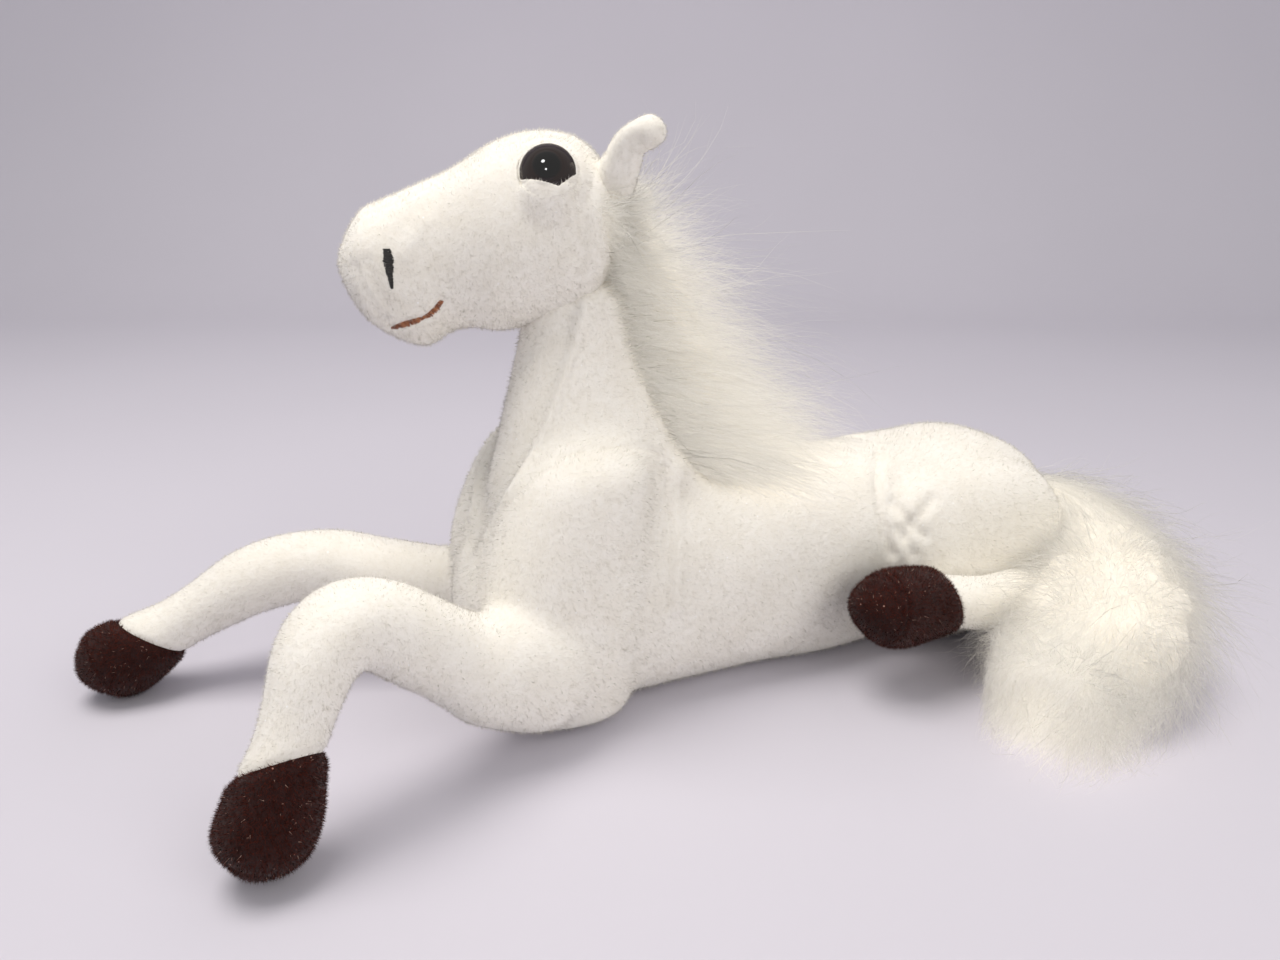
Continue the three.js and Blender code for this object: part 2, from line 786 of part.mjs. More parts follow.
const stitches = (room) => [
  ...SIDES.map(({ side, sign }) => ({
    name: "nostril_" + side,
    shape: across(nostrilOutline(room), ...(sign < 0 ? [-headWidth, 0] : [0, headWidth])),
    material: blackThread,
  })),
  { name: "mouth_stitch", shape: across(mouthOutline(room), -headWidth, headWidth), material: brownThread },
];
for (const { name, shape, material } of stitches(0)) {
  addPiece(name, shape.intersect(stitchBand(0)), material);
}
const stitchRoom = joined(stitches(gap).map(({ shape }) => shape)).intersect(stitchBand(gap));

// Head: cheeks, a gusset over the forehead and one under the chin
const earSweeps = ears.map((ear) => swept(softForm(ear.form, limbFine, turnRoom), ear.flop));
const headInner = (grow) => solid(softForm(headForm, plain, grow));
const pressed = (room) =>
  joined(eyes.map(({ seat }) => disc(seat, eyeRadius + room, pressedFoot - room, pressedTop + room)));
const stemRoom = eyes.map(({ seat }) => eyeSolid(seat, gap));
const washerRoom = eyes.map(({ seat }) =>
  disc(seat, washerRadius + gap, washerFoot - gap, washerTop + gap),
);
const headSkin = without(
  solid(softForm(headForm, fine)).subtract(headInner(-fabric)).add(pressed(0)),
  [...stemRoom, ...washerRoom, ...earSweeps, stitchRoom],
);
const headMiddle = onHead(0, 0, cheekSeamShare);
const headStrip = (share, room) => block(headFoot, headRight, share * headWidth + 2 * room);
const foreheadStrip = (room) =>
  headStrip(foreheadShare, room).intersect(beyond(ahead(headMiddle, UP, -room), UP));
const chinStrip = (room) =>
  headStrip(chinShare, room).intersect(beyond(ahead(headMiddle, UP, room - gap), DOWN));
addPiece("forehead_gusset", headSkin.intersect(foreheadStrip(0)), whitePlush);
addPiece("chin_gusset", headSkin.intersect(chinStrip(0)), whitePlush);
for (const { side, sign } of SIDES) {
  const outward = headRight.clone().multiplyScalar(sign);
  const half = headSkin.intersect(beyond(ahead(headFoot, outward, gap / 2), outward));
  addPiece("cheek_" + side, without(half, [foreheadStrip(gap), chinStrip(gap)]), whitePlush);
}
addPiece(
  "head_filling",
  without(headInner(-fabric - gap), [...stemRoom, ...earSweeps, ...washerRoom, pressed(gap), stitchRoom]),
  filling,
);
for (const { side, seat } of eyes) {
  addPiece("eye_" + side, eyeSolid(seat, 0), eyePlastic);
  const bore = disc(seat, stemRadius + gap, washerFoot - gap, washerTop + gap);
  addPiece("washer_" + side, disc(seat, washerRadius, washerFoot, washerTop).subtract(bore), washerPlastic);
}
for (const { side, form, seam, flop } of ears) {
  const whole = solid(softForm(form, limbFine));
  const facing = seam.clone().multiplyScalar(side === "left" ? -1 : 1);
  const behind = facing.clone().negate();
  const front = whole.intersect(beyond(ahead(flop.pivot, facing, gap / 2), facing));
  const back = whole.intersect(beyond(ahead(flop.pivot, behind, gap / 2), behind));
  addPiece("ear_inner_" + side, front, whitePlush);
  addPiece("ear_outer_" + side, back, whitePlush);
}

// The pieces of a lower leg: a sleeve down to the slanted hoof seam, the hoof, its sole and the filling
function addLowerLeg({ side, lower, lowerAhead, bend }, [sleeveName, hoofName, soleName, fillName]) {
  const above = UP.clone().addScaledVector(lowerAhead, -lowerAhead.z).normalize();
  const slant = Math.tan(radians(hoofSeamTilt));
  const seamFacing = lowerAhead.clone().addScaledVector(above, -slant).normalize();
  const seam = ahead(bend.pivot, lowerAhead, hoofSeamAt);
  const sole = ahead(bend.pivot, lowerAhead, soleAt);
  const skin = solid(softForm(lower, limbFine))
    .intersect(aboveFloor)
    .subtract(solid(softForm(lower, limbPlain, -fabric)));
  const hoof = skin.intersect(beyond(ahead(seam, seamFacing, gap), seamFacing));
  addPiece(sleeveName + side, skin.subtract(beyond(seam, seamFacing)), whitePlush);
  addPiece(hoofName + side, hoof.subtract(beyond(sole, lowerAhead)), brownPlush);
  addPiece(soleName + side, hoof.intersect(beyond(ahead(sole, lowerAhead, gap), lowerAhead)), brownPlush);
  addPiece(fillName + side, solid(softForm(lower, limbPlain, -fabric - gap)), filling);
}

// Forelegs
for (const leg of forelegs) {
  const kneeRoom = swept(softForm(leg.lower, limbFine, turnRoom), leg.bend);
  const outer = solid(softForm(leg.upper, limbFine)).intersect(aboveFloor);
  const inner = solid(softForm(leg.upper, limbPlain, -fabric));
  addPiece("forearm_" + leg.side, without(outer, [inner, kneeRoom]), whitePlush);
  const core = solid(softForm(leg.upper, limbPlain, -fabric - gap));
  addPiece("forearm_filling_" + leg.side, core.subtract(kneeRoom), filling);
  addLowerLeg(leg, ["cannon_", "hoof_", "sole_", "cannon_filling_"]);
}
for (const leg of hindLegs) {
  addLowerLeg(leg, ["shank_", "hind_hoof_", "hind_sole_", "shank_filling_"]);
}

// Mane. It leaves room for the ears as they flop on the nodding head.
const nodding = ears.flatMap(({ form, flop }) => {
  const flopped = swept(softForm(form, limbPlain, coarseRoom / 2), flop);
  return anglesOf(nod.range).map((degrees) => flopped.transform(turned(nod, degrees).elements));
});
const maneFur = solid(softForm(maneForm, plain));
addPiece("mane", without(maneFur, [fixed(fine, gap), headSweep, ...nodding]), longFur);

// Tail, with the ball at its root. It leaves room for the haunches and the hind legs as it lifts.
const passing = [
  fixed(plain, coarseRoom),
  ...hindLegs.map((leg) => swept(softForm(leg.lower, limbPlain, coarseRoom), leg.bend)),
];
const tailFur = without(
  solid(softForm(tailForm, limbFine)),
  passing.flatMap((piece) => turnedBack(piece, tailLift)),
);
addPiece("tail", tailFur.add(ball(tailRoot, tailBall)).intersect(aboveFloor), longFur);

export default horse;
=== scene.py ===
"""Dresses the lying plush horse: short pile, dark hooves, long-fur mane and tail, gloss eyes, stitching."""

from __future__ import annotations

import logging
import math
from collections.abc import Callable, Sequence
from dataclasses import dataclass, field
from enum import Enum

import bmesh
import bpy
import numpy as np
from mathutils import Matrix, Vector
from mathutils.bvhtree import BVHTree

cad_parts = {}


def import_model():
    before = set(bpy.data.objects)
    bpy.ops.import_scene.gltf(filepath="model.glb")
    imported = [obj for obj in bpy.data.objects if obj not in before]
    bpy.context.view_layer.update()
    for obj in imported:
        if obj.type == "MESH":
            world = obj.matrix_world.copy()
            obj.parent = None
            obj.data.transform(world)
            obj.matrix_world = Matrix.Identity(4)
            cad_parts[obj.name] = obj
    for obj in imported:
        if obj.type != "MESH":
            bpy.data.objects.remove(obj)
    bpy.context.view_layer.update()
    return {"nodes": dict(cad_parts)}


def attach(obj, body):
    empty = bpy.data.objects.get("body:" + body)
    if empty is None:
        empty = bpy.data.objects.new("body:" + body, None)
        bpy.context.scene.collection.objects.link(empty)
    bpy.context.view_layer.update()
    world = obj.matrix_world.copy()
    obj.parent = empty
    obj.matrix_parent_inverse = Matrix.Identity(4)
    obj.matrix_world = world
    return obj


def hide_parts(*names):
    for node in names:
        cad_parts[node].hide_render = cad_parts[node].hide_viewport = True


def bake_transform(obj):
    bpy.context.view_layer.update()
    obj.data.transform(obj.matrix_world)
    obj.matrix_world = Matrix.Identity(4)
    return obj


log = logging.getLogger("plush_horse")

MM = 0.001
UP = np.array((0.0, 0.0, 1.0))
FORWARD = np.array((-1.0, 0.0, 0.0))
RIGHTWARD = np.array((0.0, 1.0, 0.0))
# A cut divides the faces this near to its plane
CUT_REACH = 8 * MM
# Strands stay this far above the floor
STRAND_FLOOR = 0.2 * MM

Row = tuple[float, float, float, float]
Rows = Sequence[Row]
Pair = tuple[float, float]
Triple = tuple[float, float, float]
Spot = Pair
Line = Sequence[Spot]
Points = np.ndarray
Nodes = bpy.types.NodeTree
Material = bpy.types.Material
Piece = bpy.types.Object


class Side(Enum):
    """The horse's left side is -Y, its right side +Y."""

    LEFT = -1
    RIGHT = 1

    @property
    def label(self) -> str:
        """The side as it stands in a node's name."""
        return self.name.lower()

    def pick(self, left: object, right: object) -> object:
        """What belongs to this side."""
        return left if self is Side.LEFT else right


def lengths(rows: Points) -> Points:
    """The length of each row."""
    return np.linalg.norm(rows, axis=1)


def unit(vector: Points) -> Points:
    """A vector, or each row of an array, at length 1."""
    return vector / np.maximum(np.linalg.norm(vector, axis=-1, keepdims=True), 1e-12)


def turned(vector: Points, axis: Points, degrees: float) -> Points:
    """A vector turned about an axis by some degrees."""
    return np.array(Matrix.Rotation(math.radians(degrees), 3, Vector(axis)) @ Vector(vector))


def ramp(values: Points, low: float, high: float) -> Points:
    """How far each value has come from low to high, eased, from 0 to 1."""
    share = np.clip((values - low) / (high - low), 0.0, 1.0)
    return share * share * (3.0 - 2.0 * share)


def held(values: Points, limit: float, room: float) -> Points:
    """Let values run on past a limit ever more slowly, by no more than some room."""
    past = np.maximum(values - limit, 0)
    return np.minimum(values, limit) + room * np.tanh(past / room)


# Colours and materials


def linear(code: str, strength: float = 1.0) -> tuple[float, float, float, float]:
    """Turn an sRGB hex colour to linear.

    Args:
        code: the colour, such as "#ece8df".
        strength: what its brightness is multiplied by.

    Returns:
        Red, green, blue and an alpha of 1.
    """
    shares = [int(code[i : i + 2], 16) / 255 for i in (1, 3, 5)]
    parts = [c / 12.92 if c <= 0.04045 else ((c + 0.055) / 1.055) ** 2.4 for c in shares]
    return (parts[0] * strength, parts[1] * strength, parts[2] * strength, 1.0)


def add_node(tree: Nodes, kind: str, inputs: dict | None = None, **settings: object) -> bpy.types.Node:
    """Add a node with its settings and links.

    Args:
        tree: the node tree it goes into.
        kind: the node's type, without its first word.
        inputs: a value for each input, or the output or node that it is linked from. A node stands for its
            first output that is in use.
        settings: the node's own properties.

    Returns:
        The new node.
    """
    node = tree.nodes.new("ShaderNode" + kind)
    for name, value in settings.items():
        setattr(node, name, value)
    for name, value in (inputs or {}).items():
        if isinstance(value, bpy.types.Node):
            value = next(output for output in value.outputs if output.enabled)
        if isinstance(value, bpy.types.NodeSocket):
            tree.links.new(value, node.inputs[name])
        else:
            node.inputs[name].default_value = value
    return node


def new_material(name: str) -> tuple[Material, Nodes]:
    """An empty material with nodes, and its tree."""
    material = bpy.data.materials.new(name)
    material.use_nodes = True
    material.node_tree.nodes.clear()
    return material, material.node_tree


def finished(material: Material, shader: bpy.types.Node) -> Material:
    """The material, with a shader linked to its surface."""
    add_node(material.node_tree, "OutputMaterial", {"Surface": shader})
    return material


@dataclass(frozen=True)
class Plush:
    """Knitted polyester plush with a short cut pile, softened by use.

    The pile scatters light, so there is no shine but a pale sheen at grazing angles. It lies in small
    tufts; the shade in the hollows between them is painted as faint darker flecks. A few bright
    fibres glint, and these glints are painted as pale specks.
    """

    name: str
    colour: str
    hollow_shade: str
    glint: str
    tuft: float = 2.4 * MM
    lock: float = 16 * MM
    sheen: float = 0.35
    # A fibre is 0.02 mm thick. A glint is drawn at 0.35 mm, which is as fine as the render shows.
    glint_gap: float = 6.5 * MM
    glint_size: float = 0.35 * MM

    def build(self) -> Material:
        """Make the material of the plush's ground."""
        material, tree = new_material(self.name)
        place = add_node(tree, "TexCoord").outputs["Object"]
        tuft = add_node(
            tree, "TexNoise", {"Vector": place, "Scale": 1 / self.tuft, "Detail": 4.0, "Roughness": 0.6}
        )
        lock = add_node(
            tree, "TexNoise", {"Vector": place, "Scale": 1 / self.lock, "Detail": 3.0, "Roughness": 0.55}
        )
        both = add_node(tree, "Math", {0: tuft, 1: lock}, operation="MULTIPLY")
        # Painted shade: the colour darkens where the tufts' bump is low, as shade falls into the hollows of
        # the pile.
        painted_shade = add_node(
            tree, "MapRange",
            {"Value": both, "From Min": 0.12, "From Max": 0.34, "To Min": 0.6, "To Max": 0.0}
        )
        ground = add_node(
            tree, "Mix", {0: painted_shade, 6: linear(self.colour), 7: linear(self.hollow_shade)}, data_type="RGBA"
        )
        speck = add_node(tree, "TexVoronoi", {"Vector": place, "Scale": 1 / self.glint_gap})
        bright = add_node(
            tree, "Math", {0: speck, 1: self.glint_size / self.glint_gap}, operation="LESS_THAN"
        )
        colour = add_node(tree, "Mix", {0: bright, 6: ground, 7: linear(self.glint)}, data_type="RGBA")
        bump = add_node(tree, "Bump", {"Height": tuft, "Strength": 0.6, "Distance": 0.5 * MM})
        shader = add_node(
            tree,
            "BsdfPrincipled",
            {
                "Base Color": colour, "Roughness": 0.95, "Specular IOR Level": 0.15,
                "Sheen Weight": self.sheen, "Sheen Roughness": 0.6, "Normal": bump
            },
        )
        return finished(material, shader)


@dataclass(frozen=True)
class Fibre:
    """Drawn polyester fibre, as pile or as long fur.

    Each fibre has its own shade, its smooth side gives a soft, wide shine, and light passes through it.
    """

    name: str
    root: str
    tip: str
    roughness: float = 0.55
    sheen: float = 0.3
    through: float = 0.5
    glint: str = "#ffffff"
    glint_share: float = 0.004

    def build(self) -> Material:
        """Make the material of the fibres. A fibre's own shade comes from its loose part of the mesh."""
        material, tree = new_material(self.name)
        own = add_node(tree, "NewGeometry").outputs["Random Per Island"]
        shade = add_node(tree, "Mix", {0: own, 6: linear(self.root), 7: linear(self.tip)}, data_type="RGBA")
        bright = add_node(tree, "Math", {0: own, 1: 1 - self.glint_share}, operation="GREATER_THAN")
        shade = add_node(tree, "Mix", {0: bright, 6: shade, 7: linear(self.glint)}, data_type="RGBA")
        shader = add_node(
            tree,
            "BsdfPrincipled",
            {
                "Base Color": shade, "Roughness": self.roughness, "Specular IOR Level": 0.3,
                "Sheen Weight": self.sheen, "Sheen Roughness": 0.5
            },
        )
        through = add_node(tree, "BsdfTranslucent", {"Color": shade})
        both = add_node(tree, "MixShader", {0: self.through, 1: shader, 2: through})
        return finished(material, both)


@dataclass(frozen=True)
class Thread:
    """Rayon embroidery thread in satin stitch: plied, with a soft shine along the strand."""

    name: str
    colour: str
    fleck: str
    ply: float = 0.4 * MM

    def build(self) -> Material:
        """Make the material, with its ply drawn as fine bands."""
        material, tree = new_material(self.name)
        place = add_node(tree, "TexCoord").outputs["Object"]
        band = add_node(
            tree, "TexWave",
            {"Vector": place, "Scale": 1 / (20 * self.ply), "Distortion": 2.0, "Detail": 2.0},
            bands_direction="DIAGONAL"
        )
        own = add_node(tree, "NewGeometry").outputs["Random Per Island"]
        colour = add_node(
            tree, "Mix", {0: own, 6: linear(self.colour), 7: linear(self.fleck)}, data_type="RGBA"
        )
        bump = add_node(
            tree, "Bump", {"Height": band.outputs["Fac"], "Strength": 0.4, "Distance": 0.1 * MM}
        )
        shader = add_node(
            tree, "BsdfPrincipled",
            {"Base Color": colour, "Roughness": 0.5, "Sheen Weight": 0.3, "Normal": bump}
        )
        return finished(material, shader)


@dataclass(frozen=True)
class EyeAcrylic:
    """Moulded acrylic safety eye: near-black brown, polished, with a darker pupil that shows through."""

    name: str = "moulded gloss acrylic, near-black brown"
    iris: str = "#1c0d08"
    pupil: str = "#040303"
    pupil_share: float = 0.45

    def build(self) -> Material:
        """Make the material. The pupil is where the dome is highest, which its vertex attribute says."""
        material, tree = new_material(self.name)
        height = add_node(tree, "Attribute", attribute_name="from_middle").outputs["Fac"]
        dark = add_node(
            tree,
            "MapRange",
            {
                "Value": height, "From Min": self.pupil_share - 0.04, "From Max": self.pupil_share + 0.04,
                "To Min": 0.0, "To Max": 1.0
            },
        )
        colour = add_node(
            tree, "Mix", {0: dark, 6: linear(self.pupil), 7: linear(self.iris)}, data_type="RGBA"
        )
        shader = add_node(
            tree,
            "BsdfPrincipled",
            {
                "Base Color": colour, "Roughness": 0.06, "IOR": 1.49, "Coat Weight": 0.4,
                "Coat Roughness": 0.03
            },
        )
        return finished(material, shader)


@dataclass(frozen=True)
class Wadding:
    """Polyester fibrefill: white, matt, with loose swirls of fibre."""

    name: str = "polyester fibrefill, carded"
    colour: str = "#f5f4f0"
    shadow: str = "#d9d6cd"
    swirl: float = 9 * MM

    def build(self) -> Material:
        """Make the material, with its swirls as tone and as bump."""
        material, tree = new_material(self.name)
        place = add_node(tree, "TexCoord").outputs["Object"]
        noise = add_node(
            tree, "TexNoise", {"Vector": place, "Scale": 1 / self.swirl, "Detail": 6.0, "Distortion": 2.5}
        )
        colour = add_node(
            tree, "Mix", {0: noise, 6: linear(self.shadow), 7: linear(self.colour)}, data_type="RGBA"
        )
        bump = add_node(tree, "Bump", {"Height": noise, "Strength": 0.8, "Distance": 2 * MM})
        shader = add_node(
            tree, "BsdfPrincipled",
            {"Base Color": colour, "Roughness": 1.0, "Sheen Weight": 0.4, "Normal": bump}
        )
        return finished(material, shader)


@dataclass(frozen=True)
class MouldedPlastic:
    """Injection-moulded polypropylene: plain, slightly waxy, with a fine spark-eroded grain."""

    name: str = "polypropylene, injection moulded"
    colour: str = "#e2e2dd"
    grain: float = 0.3 * MM

    def build(self) -> Material:
        """Make the material, with its grain as a faint bump and change of gloss."""
        material, tree = new_material(self.name)
        place = add_node(tree, "TexCoord").outputs["Object"]
        noise = add_node(tree, "TexNoise", {"Vector": place, "Scale": 1 / self.grain, "Detail": 2.0})
        gloss = add_node(
            tree, "MapRange",
            {"Value": noise, "From Min": 0.3, "From Max": 0.7, "To Min": 0.36, "To Max": 0.46}
        )
        bump = add_node(tree, "Bump", {"Height": noise, "Strength": 0.2, "Distance": 0.05 * MM})
        shader = add_node(
            tree, "BsdfPrincipled",
            {"Base Color": linear(self.colour), "Roughness": gloss, "IOR": 1.49, "Normal": bump}
        )
        return finished(material, shader)


def made_once(finish: Plush | Fibre | Thread | EyeAcrylic | Wadding | MouldedPlastic) -> Material:
    """A field of the finishes, which is built when they are."""
    return field(default_factory=finish.build)


@dataclass
class Finishes:
    """Every material of the horse, made once."""

    white_plush: Material = made_once(
        Plush("polyester plush, knitted and cropped, white", "#f4f1ea", "#eae5da", "#ffffff")
    )
    white_pile: Material = made_once(Fibre("polyester pile, cropped, white", "#e2ded5", "#f6f4ef", 0.8))
    brown_plush: Material = made_once(
        Plush(
            "polyester plush, knitted and cropped, dark brown", "#30110d", "#1f0907", "#c79a8b", sheen=0.2
        )
    )
    brown_pile: Material = made_once(
        Fibre(
            "polyester pile, cropped, dark brown", "#240a07", "#6e2b1b", 0.85, sheen=0.1, through=0.35,
            glint="#e8c2b0", glint_share=0.012
        )
    )
    long_fur: Material = made_once(Fibre("modacrylic fur, long drawn fibre", "#e6e4df", "#f7f6f3", 0.5))
    fur_ground: Material = made_once(
        Plush("modacrylic fur, matted ground", "#f5f1e8", "#e2dccf", "#ffffff", tuft=3.2 * MM, lock=24 * MM)
    )
    black_thread: Material = made_once(Thread("rayon thread, satin stitched, black", "#0b0a09", "#24201d"))
    brown_thread: Material = made_once(Thread("cotton thread, stitched, red brown", "#733a1e", "#b07248"))
    acrylic: Material = made_once(EyeAcrylic())
    wadding: Material = made_once(Wadding())
    plastic: Material = made_once(MouldedPlastic())


# The photograph's view


@dataclass(frozen=True)
class View:
    """The camera at the photograph's angle, for an image of 1280 by 960."""

    place: Triple = (-0.1102, -0.4014, 0.257)
    pitch: float = 20.0
    azimuth: float = -22.7
    focal_px: float = 1000.0
    wide_px: float = 1280.0
    tall_px: float = 960.0
    sensor: float = 36.0
    nearest_seen: float = 10 * MM

    def add_camera(self) -> Piece:
        """Add the camera and make it the scene's."""
        data = bpy.data.cameras.new("photograph_view")
        data.sensor_width = self.sensor
        data.lens = self.sensor * self.focal_px / self.wide_px
        data.clip_start = self.nearest_seen
        camera = bpy.data.objects.new("photograph_view", data)
        camera.location = self.place
        camera.rotation_euler = (math.radians(90 - self.pitch), 0, math.radians(self.azimuth))
        bpy.context.scene.collection.objects.link(camera)
        bpy.context.scene.camera = camera
        return camera

    def ray(self, spot: Spot) -> tuple[Vector, Vector]:
        """Where a pixel of the photograph looks from, and which way."""
        turn = Matrix.Rotation(math.radians(self.azimuth), 3, "Z") @ Matrix.Rotation(
            math.radians(90 - self.pitch), 3, "X"
        )
        across = (spot[0] - self.wide_px / 2) / self.focal_px
        down = (spot[1] - self.tall_px / 2) / self.focal_px
        return Vector(self.place), (turn @ Vector((across, -down, -1.0))).normalized()


VIEW = View()


# Soft forms


@dataclass(frozen=True)
class Path:
    """A smooth line through points, measured by its length."""

    points: Points

    @staticmethod
    def straight(start: Points, end: Points) -> Path:
        """The line from one point to another."""
        return Path(np.linspace(start, end, 9))

    @staticmethod
    def smooth(knots: Sequence[Points], steps: int = 24) -> Path:
        """A curve through every knot.

        Args:
            knots: the points that it passes.
            steps: how many stretches each gap between knots gets.

        Returns:
            The curve as a path.
        """
        ends = np.array([2 * knots[0] - knots[1], *knots, 2 * knots[-1] - knots[-2]], float)
        made = []
        for a, b, c, d in zip(ends, ends[1:], ends[2:], ends[3:]):
            for t in np.linspace(0, 1, steps, endpoint=False):
                line = 2 * b + (c - a) * t + (2 * a - 5 * b + 4 * c - d) * t**2
                made.append(0.5 * (line + (3 * b - a - 3 * c + d) * t**3))
        return Path(np.array([*made, ends[-2]]))

    def at(self, places: Points) -> Points:
        """The points at some shares of its length."""
        reach = np.concatenate(([0.0], np.cumsum(np.linalg.norm(np.diff(self.points, axis=0), axis=1))))
        wanted = np.asarray(places) * reach[-1]
        return np.stack([np.interp(wanted, reach, self.points[:, k]) for k in range(3)], axis=-1)

    def ahead(self, places: Points) -> Points:
        """Its directions at some shares of its length."""
        step = 0.01
        low, high = np.clip(places - step, 0, 1), np.clip(places + step, 0, 1)
        return unit(self.at(high) - self.at(low))


def rows_at(rows: Rows, places: Points) -> Points:
    """The values of a table of shares at some places, on a smooth curve through its rows."""
    table = np.array(rows)
    i = np.searchsorted(table[1:-1, 0], places, side="left")
    before, start, end = table[np.maximum(i - 1, 0)], table[i], table[i + 1]
    after = table[np.minimum(i + 2, len(table) - 1)]
    span = (end[:, 0] - start[:, 0])[:, None]
    t = np.clip((places[:, None] - start[:, :1]) / span, 0, 1)
    slope_in = (end - before)[:, 1:] / (end - before)[:, :1] * span
    slope_out = (after - start)[:, 1:] / (after - start)[:, :1] * span
    eased = start[:, 1:] + (end - start)[:, 1:] * t * t * (3 - 2 * t)
    return eased + slope_in * t * (1 - t) ** 2 - slope_out * t * t * (1 - t)


@dataclass(frozen=True)
class SoftForm:
    """A stuffed form: rounded sections along a path, closed by round ends."""

    path: Path
    up: Points
    rows: Rows
    height: float
    width: float
    caps: Pair
    square: float = 2.3

    def sections(self, places: Points, grow: float = 0.0) -> tuple[Points, Points, Points]:
        """The middle, the reach upwards and the reach sideways of the sections at some places."""
        tangent = self.path.ahead(places)
        above = unit(self.up - tangent * (tangent @ self.up)[:, None])
        top, bottom, half = rows_at(self.rows, places).T
        centre = self.path.at(places) + tangent * (grow * (2 * places - 1))[:, None]
        centre = centre + above * ((top + bottom) / 2 * self.height)[:, None]
        side = np.cross(above, tangent) * (half * self.width + grow)[:, None]
        return centre, above * ((top - bottom) / 2 * self.height + grow)[:, None], side

    def shell(self, sides: int, rings: int, cap: int, grow: float = 0.0) -> Shell:
        """Make its skin.

        Args:
            sides: points round a section.
            rings: sections between the round ends.
            cap: sections in each round end.
            grow: how much larger the form is all round.

        Returns:
            The closed skin.
        """
        first, last = self.caps
        quarter = np.linspace(0, math.pi / 2, cap + 1)[1:]
        middle = np.linspace(first, 1 - last, rings + 1)[1:-1]
        start, end = first * (1 - np.cos(quarter)), 1 - last * (1 - np.cos(quarter))
        places = np.concatenate((start, middle, end[::-1]))
        scale = np.concatenate((np.sin(quarter), np.ones(len(middle)), np.sin(quarter)[::-1]))
        centre, above, side = self.sections(places, grow)
        angle = 2 * math.pi * (np.arange(sides) + 0.5) / sides
        along = np.sign(np.cos(angle)) * np.abs(np.cos(angle)) ** (2 / self.square)
        tall = np.sign(np.sin(angle)) * np.abs(np.sin(angle)) ** (2 / self.square)
        ring = (
            centre[:, None]
            + side[:, None] * (along * scale[:, None])[..., None]
            + above[:, None] * (tall * scale[:, None])[..., None]
        )
        ends = self.sections(np.array((0.0, 1.0)), grow)[0]
        return Shell.round(ends[0], ring, ends[1])


def read(items: bpy.types.bpy_prop_collection, name: str, kind: type = float) -> Points:
    """A property in three parts of every item, one row for each."""
    values = np.empty(len(items) * 3, kind)
    items.foreach_get(name, values)
    return values.reshape(-1, 3)


def between(at: Points) -> list[list[int]]:
    """The faces between rings of points, which are given as rows of numbers."""
    onward = np.roll(at, -1, axis=1)
    return np.stack((at[:-1], onward[:-1], onward[1:], at[1:]), axis=-1).reshape(-1, 4).tolist()


